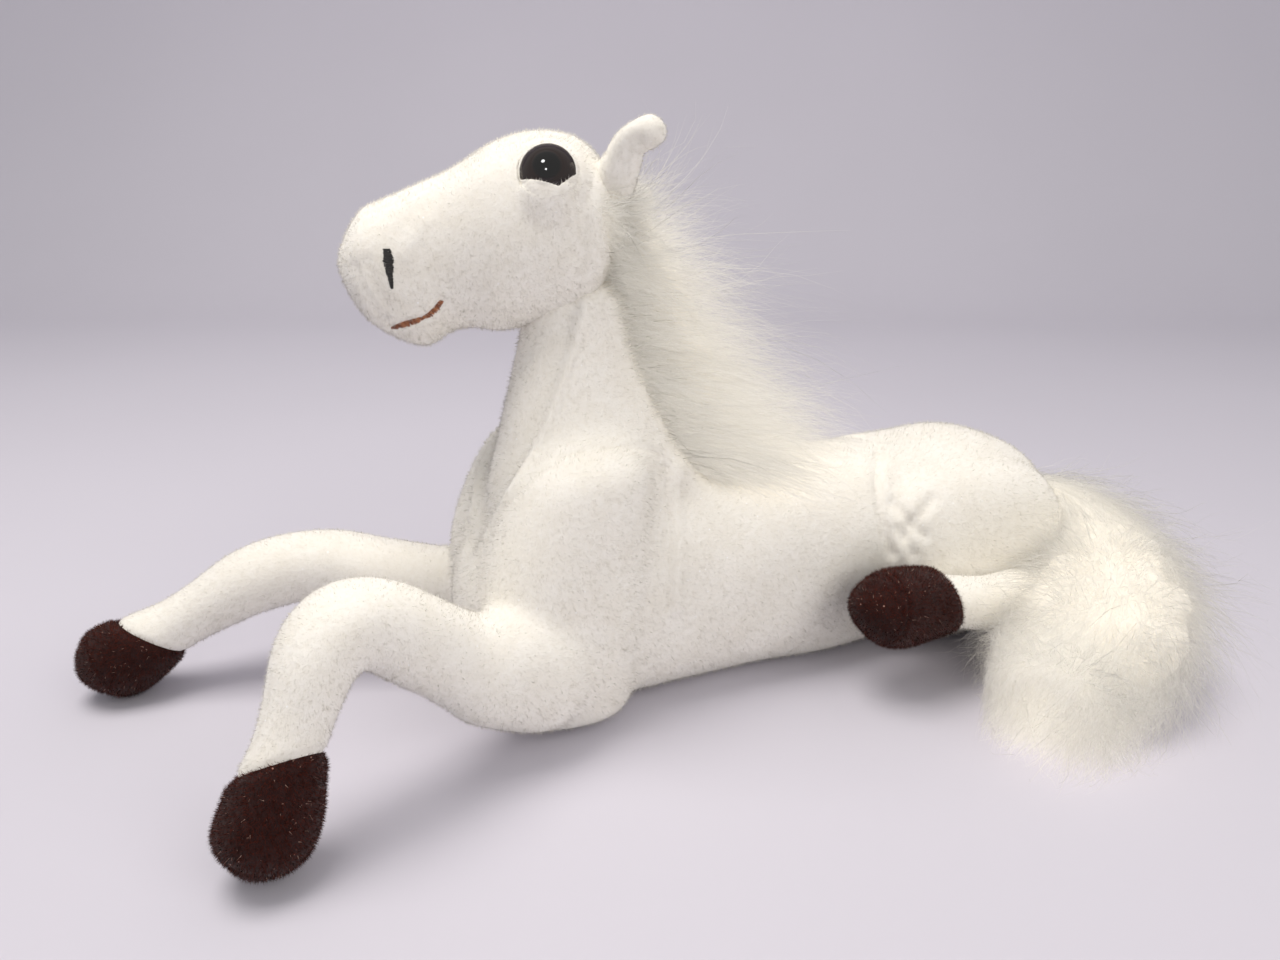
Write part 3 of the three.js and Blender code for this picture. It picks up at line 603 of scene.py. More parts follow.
@dataclass
class Shell:
    """The points and faces of one skin."""

    points: Points
    faces: list

    @staticmethod
    def round(first: Points, rings: Points, last: Points) -> Shell:
        """A closed skin through rings of points, from a first point to a last one."""
        points = np.concatenate((first[None], rings.reshape(-1, 3), last[None]))
        at = 1 + np.arange(len(points) - 2).reshape(rings.shape[:2])
        faces = between(at)
        for j in range(at.shape[1]):
            k = (j + 1) % at.shape[1]
            faces.append([0, int(at[0, k]), int(at[0, j])])
            faces.append([len(points) - 1, int(at[-1, j]), int(at[-1, k])])
        return Shell(points, faces)

    @staticmethod
    def joined(shells: Sequence[Shell]) -> Shell:
        """Several skins as one set of points and faces."""
        faces, start = [], 0
        for shell in shells:
            faces.extend([[start + corner for corner in face] for face in shell.faces])
            start += len(shell.points)
        return Shell(np.concatenate([shell.points for shell in shells]), faces)

    @staticmethod
    def taken(mesh: bpy.types.Mesh) -> Shell:
        """The points and faces of a mesh, which is then removed."""
        shell = Shell(read(mesh.vertices, "co"), [list(face.vertices) for face in mesh.polygons])
        bpy.data.meshes.remove(mesh)
        return shell

    def add_object(self, name: str, material: Material | None = None) -> Piece:
        """Add the skin to the scene as an object, smooth shaded, with its material if it has one."""
        mesh = bpy.data.meshes.new(name)
        mesh.from_pydata(self.points, [], self.faces)
        mesh.polygons.foreach_set("use_smooth", [True] * len(mesh.polygons))
        mesh.update()
        if material:
            mesh.materials.append(material)
        piece = bpy.data.objects.new(name, mesh)
        bpy.context.scene.collection.objects.link(piece)
        return piece

    def normals(self) -> Points:
        """The direction outwards at each point."""
        mesh = bpy.data.meshes.new("measured")
        mesh.from_pydata(self.points, [], self.faces)
        out = read(mesh.vertices, "normal")
        bpy.data.meshes.remove(mesh)
        return out

    def tree(self) -> BVHTree:
        """A tree that rays and nearest points are found with."""
        return BVHTree.FromPolygons(self.points.tolist(), self.faces)

    def lift(self, offsets: Points) -> None:
        """Move each point along its normal."""
        self.points = self.points + self.normals() * offsets[:, None]

    def parted(self, point: Points, facing: Points, near: Callable[[Points], Points]) -> tuple[Shell, Shell]:
        """Cut the skin along a plane.

        Args:
            point: a point of the plane.
            facing: the way that it faces.
            near: says which places the cut reaches.

        Returns:
            What stays, and what lies beyond the plane.
        """
        work = bmesh.new()
        mesh = bpy.data.meshes.new("cut")
        mesh.from_pydata(self.points, [], self.faces)
        work.from_mesh(mesh)
        middles = np.array([face.calc_center_median() for face in work.faces])
        close = near(middles) & (np.abs((middles - point) @ facing) < CUT_REACH)
        faces = [face for face, inside in zip(work.faces, close) if inside]
        edges = {edge for face in faces for edge in face.edges}
        corners = {corner for face in faces for corner in face.verts}
        bmesh.ops.bisect_plane(work, geom=[*faces, *edges, *corners], plane_co=point, plane_no=facing)
        work.to_mesh(mesh)
        work.free()
        whole = Shell.taken(mesh)
        middles = np.array([whole.points[face].mean(axis=0) for face in whole.faces])
        beyond = near(middles) & ((middles - point) @ facing > 0)
        return whole.chosen(~beyond), whole.chosen(beyond)

    def chosen(self, which: Points) -> Shell:
        """The part of the skin that some of its faces make."""
        faces = [face for face, kept in zip(self.faces, which) if kept]
        used = np.unique(np.concatenate(faces))
        place = np.zeros(len(self.points), int)
        place[used] = np.arange(len(used))
        return Shell(self.points[used], [place[face].tolist() for face in faces])

    def refined(self, near: Points, rounds: int = 2) -> Shell:
        """Divide the faces near some places, where finer shapes follow.

        Args:
            near: which of the shell's points are near.
            rounds: how often the faces there are halved.

        Returns:
            The finer shell.
        """
        work = bmesh.new()
        corners = [work.verts.new(point) for point in self.points]
        for face in self.faces:
            work.faces.new([corners[c] for c in face])
        chosen = {corner for corner, is_near in zip(corners, near) if is_near}
        for _ in range(rounds):
            edges = [edge for edge in work.edges if edge.verts[0] in chosen and edge.verts[1] in chosen]
            made = bmesh.ops.subdivide_edges(work, edges=edges, cuts=1, use_grid_fill=True)
            chosen |= {item for item in made["geom_inner"] if isinstance(item, bmesh.types.BMVert)}
        mesh = bpy.data.meshes.new("refined")
        work.to_mesh(mesh)
        work.free()
        return Shell.taken(mesh)

    def closed(self) -> Shell:
        """The skin with a flat face over each opening."""
        edges = {(face[i - 1], face[i]) for face in self.faces for i in range(len(face))}
        onward = {b: a for a, b in edges if (b, a) not in edges}
        points, faces = self.points, list(self.faces)
        while onward:
            corner, after = onward.popitem()
            loop = [corner]
            while after in onward:
                loop.append(after)
                after = onward.pop(after)
            faces.append([len(points) + i for i in range(len(loop))])
            points = np.concatenate((points, points[loop]))
        return Shell(points, faces)

    def flatten(self, floor: float = 0.0) -> None:
        """Press what is below the floor flat on it."""
        self.points[:, 2] = np.maximum(self.points[:, 2], floor)


def smoothed(rough: Piece, rounds: int, group: str = "") -> Shell:
    """The skin of an object after its modifiers and some smoothing. The object is then removed."""
    ease = rough.modifiers.new("ease", "SMOOTH")
    ease.factor = 0.5
    ease.iterations = rounds
    ease.vertex_group = group
    made = rough.evaluated_get(bpy.context.evaluated_depsgraph_get())
    shell = Shell.taken(bpy.data.meshes.new_from_object(made))
    bpy.data.objects.remove(rough)
    return shell


def melded(shells: Sequence[Shell], voxel: float, rounds: int) -> Shell:
    """One skin round several skins that overlap, with the creases between them eased.

    Args:
        shells: the closed skins.
        voxel: the size of the new faces.
        rounds: how often the skin is smoothed.

    Returns:
        The joined skin.
    """
    rough = Shell.joined(shells).add_object("rough")
    remesh = rough.modifiers.new("one_skin", "REMESH")
    remesh.mode = "VOXEL"
    remesh.voxel_size = voxel
    return smoothed(rough, rounds)


def eased(shell: Shell, weights: Points, rounds: int) -> Shell:
    """Smooth a skin where some weights say so.

    Args:
        shell: the skin.
        weights: how much each point is smoothed, from 0 to 1.
        rounds: how often.

    Returns:
        The smoothed skin.
    """
    rough = shell.add_object("rough")
    group = rough.vertex_groups.new(name="eased")
    steps = 10
    levels = np.round(weights * steps).astype(int)
    for level in range(1, steps + 1):
        group.add(np.flatnonzero(levels == level).tolist(), level / steps, "REPLACE")
    return smoothed(rough, rounds, group.name)


def traced(tree: BVHTree, spots: Line, step: float = 2.0) -> Points:
    """Lay a line, drawn on the photograph, on a skin.

    Args:
        tree: the skin's tree.
        spots: the line's corners as pixels of the photograph.
        step: the pixels between two points of the line.

    Returns:
        The line's points on the skin.
    """
    found = []
    for (x0, y0), (x1, y1) in zip(spots, spots[1:]):
        count = max(int(math.hypot(x1 - x0, y1 - y0) / step), 1)
        for t in np.linspace(0, 1, count, endpoint=False):
            origin, direction = VIEW.ray((x0 + (x1 - x0) * t, y0 + (y1 - y0) * t))
            hit = tree.ray_cast(origin, direction)[0]
            if hit is not None:
                found.append(tuple(hit))
    return np.array(found)


def mirrored(points: Points, centre: Points, across: Points) -> Points:
    """Points on the other side of a plane."""
    return points - 2 * ((points - centre) @ across)[:, None] * across


def nearest(points: Points, places: Sequence[Points]) -> Points:
    """How far each point is from the nearest of a few places."""
    return np.min([lengths(points - place) for place in places], axis=0)


def distances(points: Points, line: Points, reach: float) -> Points:
    """How far each point is from a line of points. What is further than the reach is given as far away."""
    near = np.full(len(points), 1.0)
    low, high = line.min(axis=0) - reach, line.max(axis=0) + reach
    close = np.flatnonzero(np.all((points > low) & (points < high), axis=1))
    for chunk in np.array_split(close, max(len(close) // 4000, 1)):
        if len(chunk):
            gaps = np.linalg.norm(points[chunk, None] - line[None], axis=2)
            near[chunk] = gaps.min(axis=1)
    return near


@dataclass(frozen=True)
class Crease:
    """A line that is pressed into a skin, or stands up from it."""

    line: Points
    width: float
    height: float

    def offsets(self, points: Points) -> Points:
        """How far each point of the skin moves."""
        if len(self.line) == 0:
            return np.zeros(len(points))
        away = distances(points, self.line, 3 * self.width)
        return self.height * np.exp(-((away / self.width) ** 2))


def both_sides(
    tree: BVHTree, drawn: Sequence[tuple[Line, float, float]], centre: Points, across: Points
) -> list[Crease]:
    """Creases along lines of the photograph, laid on the skin and repeated on the other side of a plane."""
    made = []
    for spots, wide, high in drawn:
        line = traced(tree, spots)
        made += [Crease(line, wide, high), Crease(mirrored(line, centre, across), wide, high)]
    return made


def lumps(points: Points, wave: float, height: float, seed: int) -> Points:
    """Soft hills and hollows, as uneven stuffing makes them.

    Args:
        points: where they are wanted.
        wave: the distance from one hill to the next.
        height: how high they are.
        seed: the seed of their directions.

    Returns:
        A height for each point.
    """
    rng = np.random.default_rng(seed)
    total = np.zeros(len(points))
    for _ in range(9):
        direction = unit(rng.normal(size=3)) * (2 * math.pi / (wave * rng.uniform(0.7, 1.4)))
        total += np.sin(points @ direction + rng.uniform(0, 2 * math.pi))
    return total * height / 3


# Pile and strands


def add_faces(
    name: str, points: Points, faces: Points, normals: Points, material: Material, shades: bool = False
) -> Piece:
    """Add an object of many small faces.

    Args:
        name: the new piece's name.
        points: the corners' places.
        faces: the corners of each face, the same number in all.
        normals: the shading direction at each corner. Fibres get that of the fur that they are part of,
            which gives it a soft, even tone.
        material: the material.
        shades: whether the faces cast shadows.

    Returns:
        The new piece.
    """
    mesh = bpy.data.meshes.new(name)
    count, corners = faces.shape
    mesh.vertices.add(len(points))
    mesh.vertices.foreach_set("co", points.astype(np.float32).ravel())
    mesh.loops.add(count * corners)
    mesh.loops.foreach_set("vertex_index", faces.astype(np.int32).ravel())
    mesh.polygons.add(count)
    mesh.polygons.foreach_set("loop_start", np.arange(0, count * corners, corners, dtype=np.int32))
    mesh.update(calc_edges=True)
    mesh.normals_split_custom_set_from_vertices(normals.astype(np.float32).tolist())
    mesh.materials.append(material)
    piece = bpy.data.objects.new(name, mesh)
    bpy.context.scene.collection.objects.link(piece)
    # Pale fibres pass light on to each other hundreds of times. A render follows a few of those steps, so
    # the fibres cast no shadow, and what they grow on casts the shadow of the whole.
    piece.visible_shadow = shades
    return piece


@dataclass(frozen=True)
class Pile:
    """Short cut pile, drawn as single pointed blades.

    A real fibre is 0.02 mm thick and there are hundreds to a square millimetre. The blades are drawn as
    coarse as the render shows, each for a tuft of fibres.
    """

    length: float = 2.6 * MM
    width: float = 0.3 * MM
    each: float = 0.85 * MM
    lean: float = 0.7
    spread: float = 0.55
    shades: bool = False

    def grow(
        self, name: str, mesh: bpy.types.Mesh, material: Material, lay: Points, seed: int,
        keep: Callable[[Points], Points] | None = None
    ) -> Piece:
        """Grow the pile on a skin.

        Args:
            name: the new piece's name.
            mesh: the skin.
            material: the fibres' material.
            lay: the way that the pile is brushed.
            seed: the seed of the blades' places.
            keep: says which places carry pile.

        Returns:
            The pile as one piece.
        """
        rng = np.random.default_rng(seed)
        mesh.calc_loop_triangles()
        corners = read(mesh.loop_triangles, "vertices", np.int32)
        points, normals = read(mesh.vertices, "co"), read(mesh.vertices, "normal")
        a, b, c = (points[corners[:, k]] for k in range(3))
        areas = lengths(np.cross(b - a, c - a)) / 2
        count = int(areas.sum() / self.each**2)
        chosen = rng.choice(len(areas), size=count, p=areas / areas.sum())
        shares = rng.random((count, 2))
        over = shares.sum(axis=1) > 1
        shares[over] = 1 - shares[over]
        weights = np.column_stack((1 - shares.sum(axis=1), shares))
        roots = np.einsum("nk,nkd->nd", weights, points[corners[chosen]])
        outward = unit(np.einsum("nk,nkd->nd", weights, normals[corners[chosen]]))
        if keep is not None:
            kept = keep(roots)
            roots, outward, count = roots[kept], outward[kept], int(kept.sum())
        brushed = unit(lay - outward * (outward @ lay)[:, None])
        ways = unit(outward + self.lean * brushed + self.spread * rng.normal(size=(count, 3)))
        sides = unit(np.cross(ways, outward + 0.4 * rng.normal(size=(count, 3)))) * (self.width / 2)
        # The front of each blade looks out of the pile
        front = np.einsum("nd,nd->n", np.cross(sides, ways), outward)
        sides = np.where(front < 0, -1.0, 1.0)[:, None] * sides
        tall = (self.length * rng.uniform(0.6, 1.15, count))[:, None]
        base = roots - outward * (0.2 * self.length)
        blades = np.stack((base - sides, base + sides, base + ways * tall), axis=1).reshape(-1, 3)
        blades[:, 2] = np.maximum(blades[:, 2], 0.0)
        shading = np.repeat(unit(outward + 0.3 * ways), 3, axis=0)
        faces = np.arange(len(blades)).reshape(-1, 3)
        piece = add_faces(name, blades, faces, shading, material, self.shades)
        log.info("%s: %d blades", name, count)
        return piece


TORSO_PILE = Pile(each=0.9 * MM)
HEAD_PILE = Pile(each=0.7 * MM, length=2.1 * MM)
EAR_PILE = Pile(each=0.7 * MM, length=1.7 * MM)
LEG_PILE = Pile(each=0.8 * MM, length=2.0 * MM)
HOOF_PILE = Pile(each=0.42 * MM, length=2.6 * MM, lean=0.25, spread=0.7, shades=True)


def add_ribbons(
    name: str, lines: Points, facing: Points, shading: Points, width: float, material: Material
) -> Piece:
    """Add strands as thin ribbons that end in a point.

    Args:
        name: the new piece's name.
        lines: the strands, each as the same number of points.
        facing: the way that each strand's flat side faces.
        shading: the way out of the fur at each strand.
        width: the width at the root.
        material: the fibres' material.

    Returns:
        The strands as one piece.
    """
    strands, steps = lines.shape[:2]
    ahead = unit(np.gradient(lines, axis=1))
    sides = unit(np.cross(ahead, facing[:, None]))
    taper = width / 2 * (1 - np.linspace(0, 1, steps) ** 2.5 * 0.85)
    edge = sides * taper[None, :, None]
    points = np.stack((lines - edge, lines + edge), axis=2)
    points[..., 2] = np.maximum(points[..., 2], STRAND_FLOOR)
    at = np.arange(strands * steps * 2).reshape(strands, steps, 2)
    faces = np.stack((at[:, :-1, 0], at[:, :-1, 1], at[:, 1:, 1], at[:, 1:, 0]), axis=-1).reshape(-1, 4)
    shading = np.repeat(unit(shading), 2 * steps, axis=0)
    piece = add_faces(name, points.reshape(-1, 3), faces, shading, material)
    log.info("%s: %d strands", name, strands)
    return piece


# The horse's parts


@dataclass(frozen=True)
class Frame:
    """Places on the horse, in the same sizes as its solids."""

    body_length: float = 330 * MM
    body_height: float = 105 * MM
    body_width: float = 92 * MM
    chest_reach: float = 32 * MM
    rest_cut: float = 0.5 * MM
    neck_height: float = 130 * MM
    neck_lean: float = 6 * MM
    head_length: float = 117 * MM
    head_height: float = 87 * MM
    head_width: float = 60 * MM
    head_turn: float = 16.0
    head_lift: float = 8 * MM
    nape_share: float = 0.171
    throat_share: float = 0.45

    def on_body(self, along: float, across: float, up: float) -> Points:
        """A place on the trunk, from shares of its length, width and height."""
        return np.array(
            (
                along * self.body_length - self.chest_reach, across * self.body_width,
                up * self.body_height - self.rest_cut
            )
        )

    @property
    def neck_foot(self) -> Points:
        """The foot of the neck's middle line."""
        return self.on_body(0.188, 0, 0.64)

    @property
    def neck_top(self) -> Points:
        """The top of the neck's middle line, inside the head."""
        return self.neck_foot + np.array((0, self.neck_lean, self.neck_height))

    @property
    def head_ahead(self) -> Points:
        """The way that the head faces."""
        return turned(FORWARD, UP, -self.head_turn)

    @property
    def head_right(self) -> Points:
        """The way to the head's right."""
        return np.cross(self.head_ahead, UP)

    def on_head(self, along: float, right: float, up: float) -> Points:
        """A place on the head, from shares of its length, width and height."""
        foot = self.neck_top - self.head_ahead * (self.nape_share * self.head_length)
        foot = foot + UP * (self.head_lift - self.throat_share * self.head_height)
        return (
            foot
            + self.head_ahead * (along * self.head_length)
            + self.head_right * (right * self.head_width)
            + UP * (up * self.head_height)
        )


FRAME = Frame()


@dataclass
class Torso:
    """Trunk, neck, shoulders and haunches under one skin, with their seams and folds."""

    voxel: float = 1.5 * MM
    rounds: int = 8
    ease_reach: float = 132 * MM
    ease_rounds: int = 60
    corner_shares: Triple = (0.215, 0.47, 1.16)
    corner_reach: Pair = (24 * MM, 58 * MM)
    corner_rounds: int = 150
    # Lumps of the stuffing: from one to the next, and how high
    lumps: Pair = (46 * MM, 0.6 * MM)
    seam_depth: float = 0.9 * MM
    seam_width: float = 1.6 * MM
    swelling_rise: float = 2.6 * MM
    swelling_reach: float = 8 * MM
    pile_floor: float = 1 * MM
    trunk_rows: Rows = (
        (0, 0.76, 0.24, 0.38), (0.06, 0.95, -0.02, 0.43), (0.14, 1.02, -0.02, 0.465),
        (0.25, 1.03, -0.02, 0.475), (0.38, 0.99, -0.02, 0.465), (0.5, 0.97, -0.02, 0.455),
        (0.62, 0.97, -0.02, 0.455), (0.72, 0.985, -0.02, 0.465), (0.8, 0.99, -0.01, 0.475),
        (0.88, 0.93, 0.01, 0.46), (0.94, 0.82, 0.06, 0.41), (1, 0.66, 0.13, 0.35),
    )
    shoulder_height: float = 131 * MM
    shoulder_depth: float = 78 * MM
    shoulder_width: float = 56 * MM
    shoulder_rows: Rows = (
        (0, 0.32, -0.34, 0.38), (0.15, 0.46, -0.37, 0.48), (0.38, 0.5, -0.47, 0.5),
        (0.61, 0.45, -0.5, 0.49), (0.84, 0.29, -0.5, 0.46), (0.95, 0.16, -0.46, 0.42),
        (1, 0.1, -0.4, 0.38),
    )
    haunch_length: float = 132 * MM
    haunch_height: float = 95 * MM
    haunch_width: float = 50 * MM
    haunch_rows: Rows = (
        (0, 0.86, 0.25, 0.38), (0.2, 0.97, 0.05, 0.46), (0.5, 1, 0.01, 0.5), (0.75, 0.94, 0.02, 0.46),
        (1, 0.68, 0.13, 0.34),
    )
    neck_depth: float = 104 * MM
    neck_width: float = 82 * MM
    neck_rows: Rows = (
        (0, 0.5, -0.52, 0.49), (0.3, 0.43, -0.49, 0.43), (0.48, 0.35, -0.4, 0.37),
        (0.63, 0.29, -0.31, 0.32), (0.8, 0.23, -0.25, 0.275), (1, 0.19, -0.19, 0.25),
    )
    bend_start: Triple = (0.030, 0.0, 0.150)
    bend_end: Triple = (0.030, 0.006, 0.192)
    # Seams and folds, as pixels of the photograph
    shoulder_seam: Line = (
        (482, 545), (500, 514), (530, 478), (562, 456), (600, 447), (640, 447), (660, 455), (667, 470),
    )
    side_ridge: Line = ((667, 468), (668, 490), (671, 510), (672, 540), (671, 575), (669, 612))
    throat_seam: Line = ((585, 300), (577, 340), (563, 380), (545, 430), (512, 490), (484, 540))
    swelling: Line = ((682, 470), (690, 476), (696, 480))
    haunch_seam: Line = ((880, 446), (877, 465), (877, 485), (880, 510), (886, 535), (893, 556))
    haunch_folds: Sequence[Line] = (
        ((893, 504), (904, 516), (914, 528), (926, 536)), ((932, 500), (922, 512), (912, 524), (905, 538)),
        ((899, 530), (908, 544), (913, 556))
    )

    def forms(self) -> list[SoftForm]:
        """The forms that the torso is joined from."""
        made = [
            SoftForm(
                Path.straight(FRAME.on_body(0, 0, 0), FRAME.on_body(1, 0, 0)), UP, self.trunk_rows,
                FRAME.body_height, FRAME.body_width, (0.06, 0.085)
            ),
            SoftForm(
                Path.straight(FRAME.neck_foot, FRAME.neck_top), FORWARD, self.neck_rows, self.neck_depth,
                self.neck_width, (0.12, 0.12)
            ),
        ]
        for side in Side:
            foot = FRAME.on_body(0.133, side.value * 0.272, 0)
            made.append(
                SoftForm(
                    Path.straight(foot, foot + UP * self.shoulder_height), FORWARD, self.shoulder_rows,
                    self.shoulder_depth, self.shoulder_width, (0.07, 0.1)
                )
            )
            front = FRAME.on_body(0.59, side.value * 0.283, 0)
            made.append(
                SoftForm(
                    Path.straight(front, front - FORWARD * self.haunch_length), UP, self.haunch_rows,
                    self.haunch_height, self.haunch_width, (0.14, 0.24)
                )
            )
        return made

    def creases(self, skin: Shell) -> list[Crease]:
        """The seams and folds, laid on the skin and repeated on the right side."""
        tree = skin.tree()
        depth, width = self.seam_depth, self.seam_width
        drawn = [
            (self.shoulder_seam, width, -depth), (self.side_ridge, width, -1.3 * depth),
            ([(x + 8, y) for x, y in self.side_ridge], 1.9 * width, 1.3 * depth),
            (self.throat_seam, 1.4 * width, 2.4 * depth),
            ([(x - 15, y + 3) for x, y in self.throat_seam], 5.0 * width, -2.0 * depth),
            (self.haunch_seam, 1.5 * width, -2.0 * depth),
            ([(x + 9, y) for x, y in self.haunch_seam], 2.6 * width, 0.7 * depth)
        ]
        drawn += [(fold, 1.9 * width, -1.8 * depth) for fold in self.haunch_folds]
        return both_sides(tree, drawn, np.zeros(3), RIGHTWARD)

    def bump(self, skin: Shell) -> Points:
        """The small swelling behind the shoulder's top, on both sides."""
        total = np.zeros(len(skin.points))
        spot = traced(skin.tree(), self.swelling)
        for centre in (spot, mirrored(spot, np.zeros(3), RIGHTWARD)):
            away = distances(skin.points, centre, 0.05)
            total += self.swelling_rise * np.exp(-((away / self.swelling_reach) ** 2))
        return total

    def build(self, legs: Sequence[Foreleg], finishes: Finishes) -> None:
        """Make one skin for torso and forelegs, cut the legs from it and grow its pile.

        Args:
            legs: the forelegs.
            finishes: the materials.
        """
        forms = [*self.forms(), *(form for leg in legs for form in leg.forms())]
        skin = melded([form.shell(72, 60, 14) for form in forms], self.voxel, self.rounds)
        away = nearest(skin.points, [leg.shoulder for leg in legs])
        weights = 1 - 0.9 * ramp(away, 0.7 * self.ease_reach, 1.1 * self.ease_reach)
        skin = eased(skin, weights, self.ease_rounds)
        along, across, up = self.corner_shares
        away = nearest(skin.points, [FRAME.on_body(along, side.value * across, up) for side in Side])
        skin = eased(skin, 1 - ramp(away, *self.corner_reach), self.corner_rounds)
        offsets = lumps(skin.points, *self.lumps, 3) + self.bump(skin)
        for crease in self.creases(skin):
            offsets = offsets + crease.offsets(skin.points)
        for leg in legs:
            offsets = offsets + leg.relief(skin.points, leg.knee, leg.ways[1])
        skin.lift(offsets)
        skin.flatten()
        for leg in legs:
            skin = leg.build(skin, finishes)
        piece = skin.closed().add_object("torso_plush", finishes.white_plush)
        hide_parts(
            "throat_gusset", "belly_gusset", "shoulder_left", "shoulder_right", "haunch_left",
            "haunch_right", "neck_side_left", "neck_side_right", "barrel_left", "barrel_right",
        )
        pile = TORSO_PILE.grow(
            "torso_pile", piece.data, finishes.white_pile, np.array((0.8, 0.0, -0.6)), 11,
            lambda points: points[:, 2] > self.pile_floor
        )
        for part in (piece, pile):
            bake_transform(part)
        log.info("torso: %d faces", len(piece.data.polygons))


@dataclass
class Head:
    """The head's skin, with eyes, nostrils and mouth."""

    caps: Pair = (0.12, 0.115)
    rows: Rows = (
        (0, 0.82, 0.34, 0.39), (0.1, 0.91, 0.22, 0.45), (0.17, 0.965, 0.16, 0.475),
        (0.308, 0.985, 0.1, 0.5), (0.444, 0.935, 0.07, 0.485), (0.556, 0.85, 0.085, 0.44),
        (0.624, 0.8, 0.064, 0.41), (0.7, 0.76, 0.003, 0.39), (0.77, 0.72, 0.015, 0.385),
        (0.838, 0.68, 0.06, 0.385), (0.906, 0.64, 0.125, 0.37), (1, 0.54, 0.25, 0.33),
    )
    eye_radius: float = 12 * MM
    eye_dome: float = 8 * MM
    eye_rim: float = 1.2 * MM
    eye_sink: float = 0.8 * MM
    eye_shares: Triple = (0.262, 0.405, 0.82)
    eye_lift: float = 26.0
    eye_forward: float = 6.0
    # The edge of the plush over the eye: across and up from its middle, as shares of its radius
    lid: Line = ((-1.4, -0.15), (-0.84, -0.29), (0.39, -0.58), (0.87, -0.13), (1.4, 0.2))
    lid_thick: float = 0.7 * MM
    lid_rise: float = 6.0 * MM
    lid_slope: Pair = (0.55, 1.9)
    lid_ends: Pair = (0.45, 1.25)
    socket_depth: float = 2.6 * MM
    pile_gap: float = 0.9 * MM
    sewn_reach: float = 4 * MM
    behind_eye: float = 10 * MM
    over_eye: float = 0.2 * MM
    eye_groove: float = 0.12 * MM
    rim_share: float = 0.86
    stem_radius: float = 2.4 * MM
    stem_length: float = 14 * MM
    nostril_tall: float = 15 * MM
    nostril_slant: float = 0.9 * MM
    nostril_wide: Pair = (4.6 * MM, 1.4 * MM)
    nostril_shares: Pair = (0.808, 0.4)
    mouth: Line = (
        (392, 328), (398, 326), (406, 323), (414, 321), (423, 318), (430, 314), (436, 308), (440, 303),
        (443, 299),
    )
    thread: float = 0.55 * MM
    lumps: Pair = (34 * MM, 0.28 * MM)
    # The width of each fold and seam, and how far it stands up or goes in
    pinch_size: Pair = (4.0 * MM, 0.6 * MM)
    cheek_size: Pair = (3.0 * MM, -0.9 * MM)
    muzzle_size: Pair = (2.6 * MM, -0.7 * MM)
    brow_size: Pair = (3.5 * MM, -0.7 * MM)
    mouth_size: Pair = (1.8 * MM, -1.2 * MM)
    gusset_size: Pair = (1.5 * MM, -0.4 * MM)
    # Folds, as pixels of the photograph
    pinch: Line = ((424, 222), (417, 234), (408, 246), (402, 256))
    muzzle_folds: Sequence[Line] = (
        ((356, 268), (362, 286), (372, 304), (384, 320)), ((366, 262), (372, 280), (382, 298), (390, 308))
    )
    cheek_fold: Line = ((582, 205), (585, 225), (582, 245), (577, 258))
    brow: Line = ((590, 160), (593, 178), (588, 196))

    @property
    def eye_arc(self) -> float:
        """The radius that the eye's dome is part of."""
        return (self.eye_radius**2 + self.eye_dome**2) / (2 * self.eye_dome)

    def eye_seat(self, side: Side) -> tuple[Points, Points]:
        """The middle of an eye's rim, and the way that the eye faces."""
        along, right, up = self.eye_shares
        facing = turned(FRAME.head_right * side.value, FRAME.head_ahead, -side.value * self.eye_lift)
        facing = unit(facing + FRAME.head_ahead * math.tan(math.radians(self.eye_forward)))
        return FRAME.on_head(along, side.value * right, up) - facing * self.eye_sink, facing

    def socket(self, skin: Shell) -> None:
        """Press the skin in under each eye, close it round the dome and draw it over its lower edge."""
        arc = self.eye_arc
        for side in Side:
            centre, facing = self.eye_seat(side)
            away = skin.points - centre
            depth = away @ facing
            flat = away - depth[:, None] * facing
            reach = lengths(flat) / self.eye_radius
            near = (reach < self.lid_slope[1]) & (depth > -self.stem_length)
            high = unit(UP - facing * facing[2])
            behind = unit(np.cross(high, facing)) * -side.value
            u, v = flat @ behind / self.eye_radius, flat @ high / self.eye_radius
            line = np.interp(u, *np.array(self.lid).T)
            inside = np.sqrt(np.maximum(arc**2 - (np.minimum(reach, 1) * self.eye_radius) ** 2, 0))
            dome = self.eye_dome - arc + inside
            rim = np.hypot(u, v + 0.07)
            covered = ramp(line - v, 0.0, 0.06) * (reach < 1.3)
            covered = np.minimum(covered + ramp(rim, self.rim_share, self.rim_share + 0.05), 1)
            aside = ramp(np.abs(u), *self.lid_ends)
            low = ramp(line - v, -0.3 - 0.2 * aside, 0.1 + 0.9 * aside)
            low = low * (1 - ramp(reach, *self.lid_slope)) * (1 - aside)
            slope = np.where(reach > 1, depth, 0.0) * (1 - low) + self.lid_rise * low
            over = np.maximum(dome + self.lid_thick * (0.6 + 0.4 * ramp(line - v, 0, 0.4)), slope)
            edge = self.lid_thick + (depth - self.lid_thick) * ramp(reach, 0.9, 1.5)
            raised = np.maximum(np.maximum(edge, slope), depth)
            sunk = np.minimum(depth, -self.socket_depth)
            moved = np.where(reach > 1.0, raised, sunk + (over - sunk) * covered)
            skin.points = skin.points + np.where(near, moved - depth, 0.0)[:, None] * facing

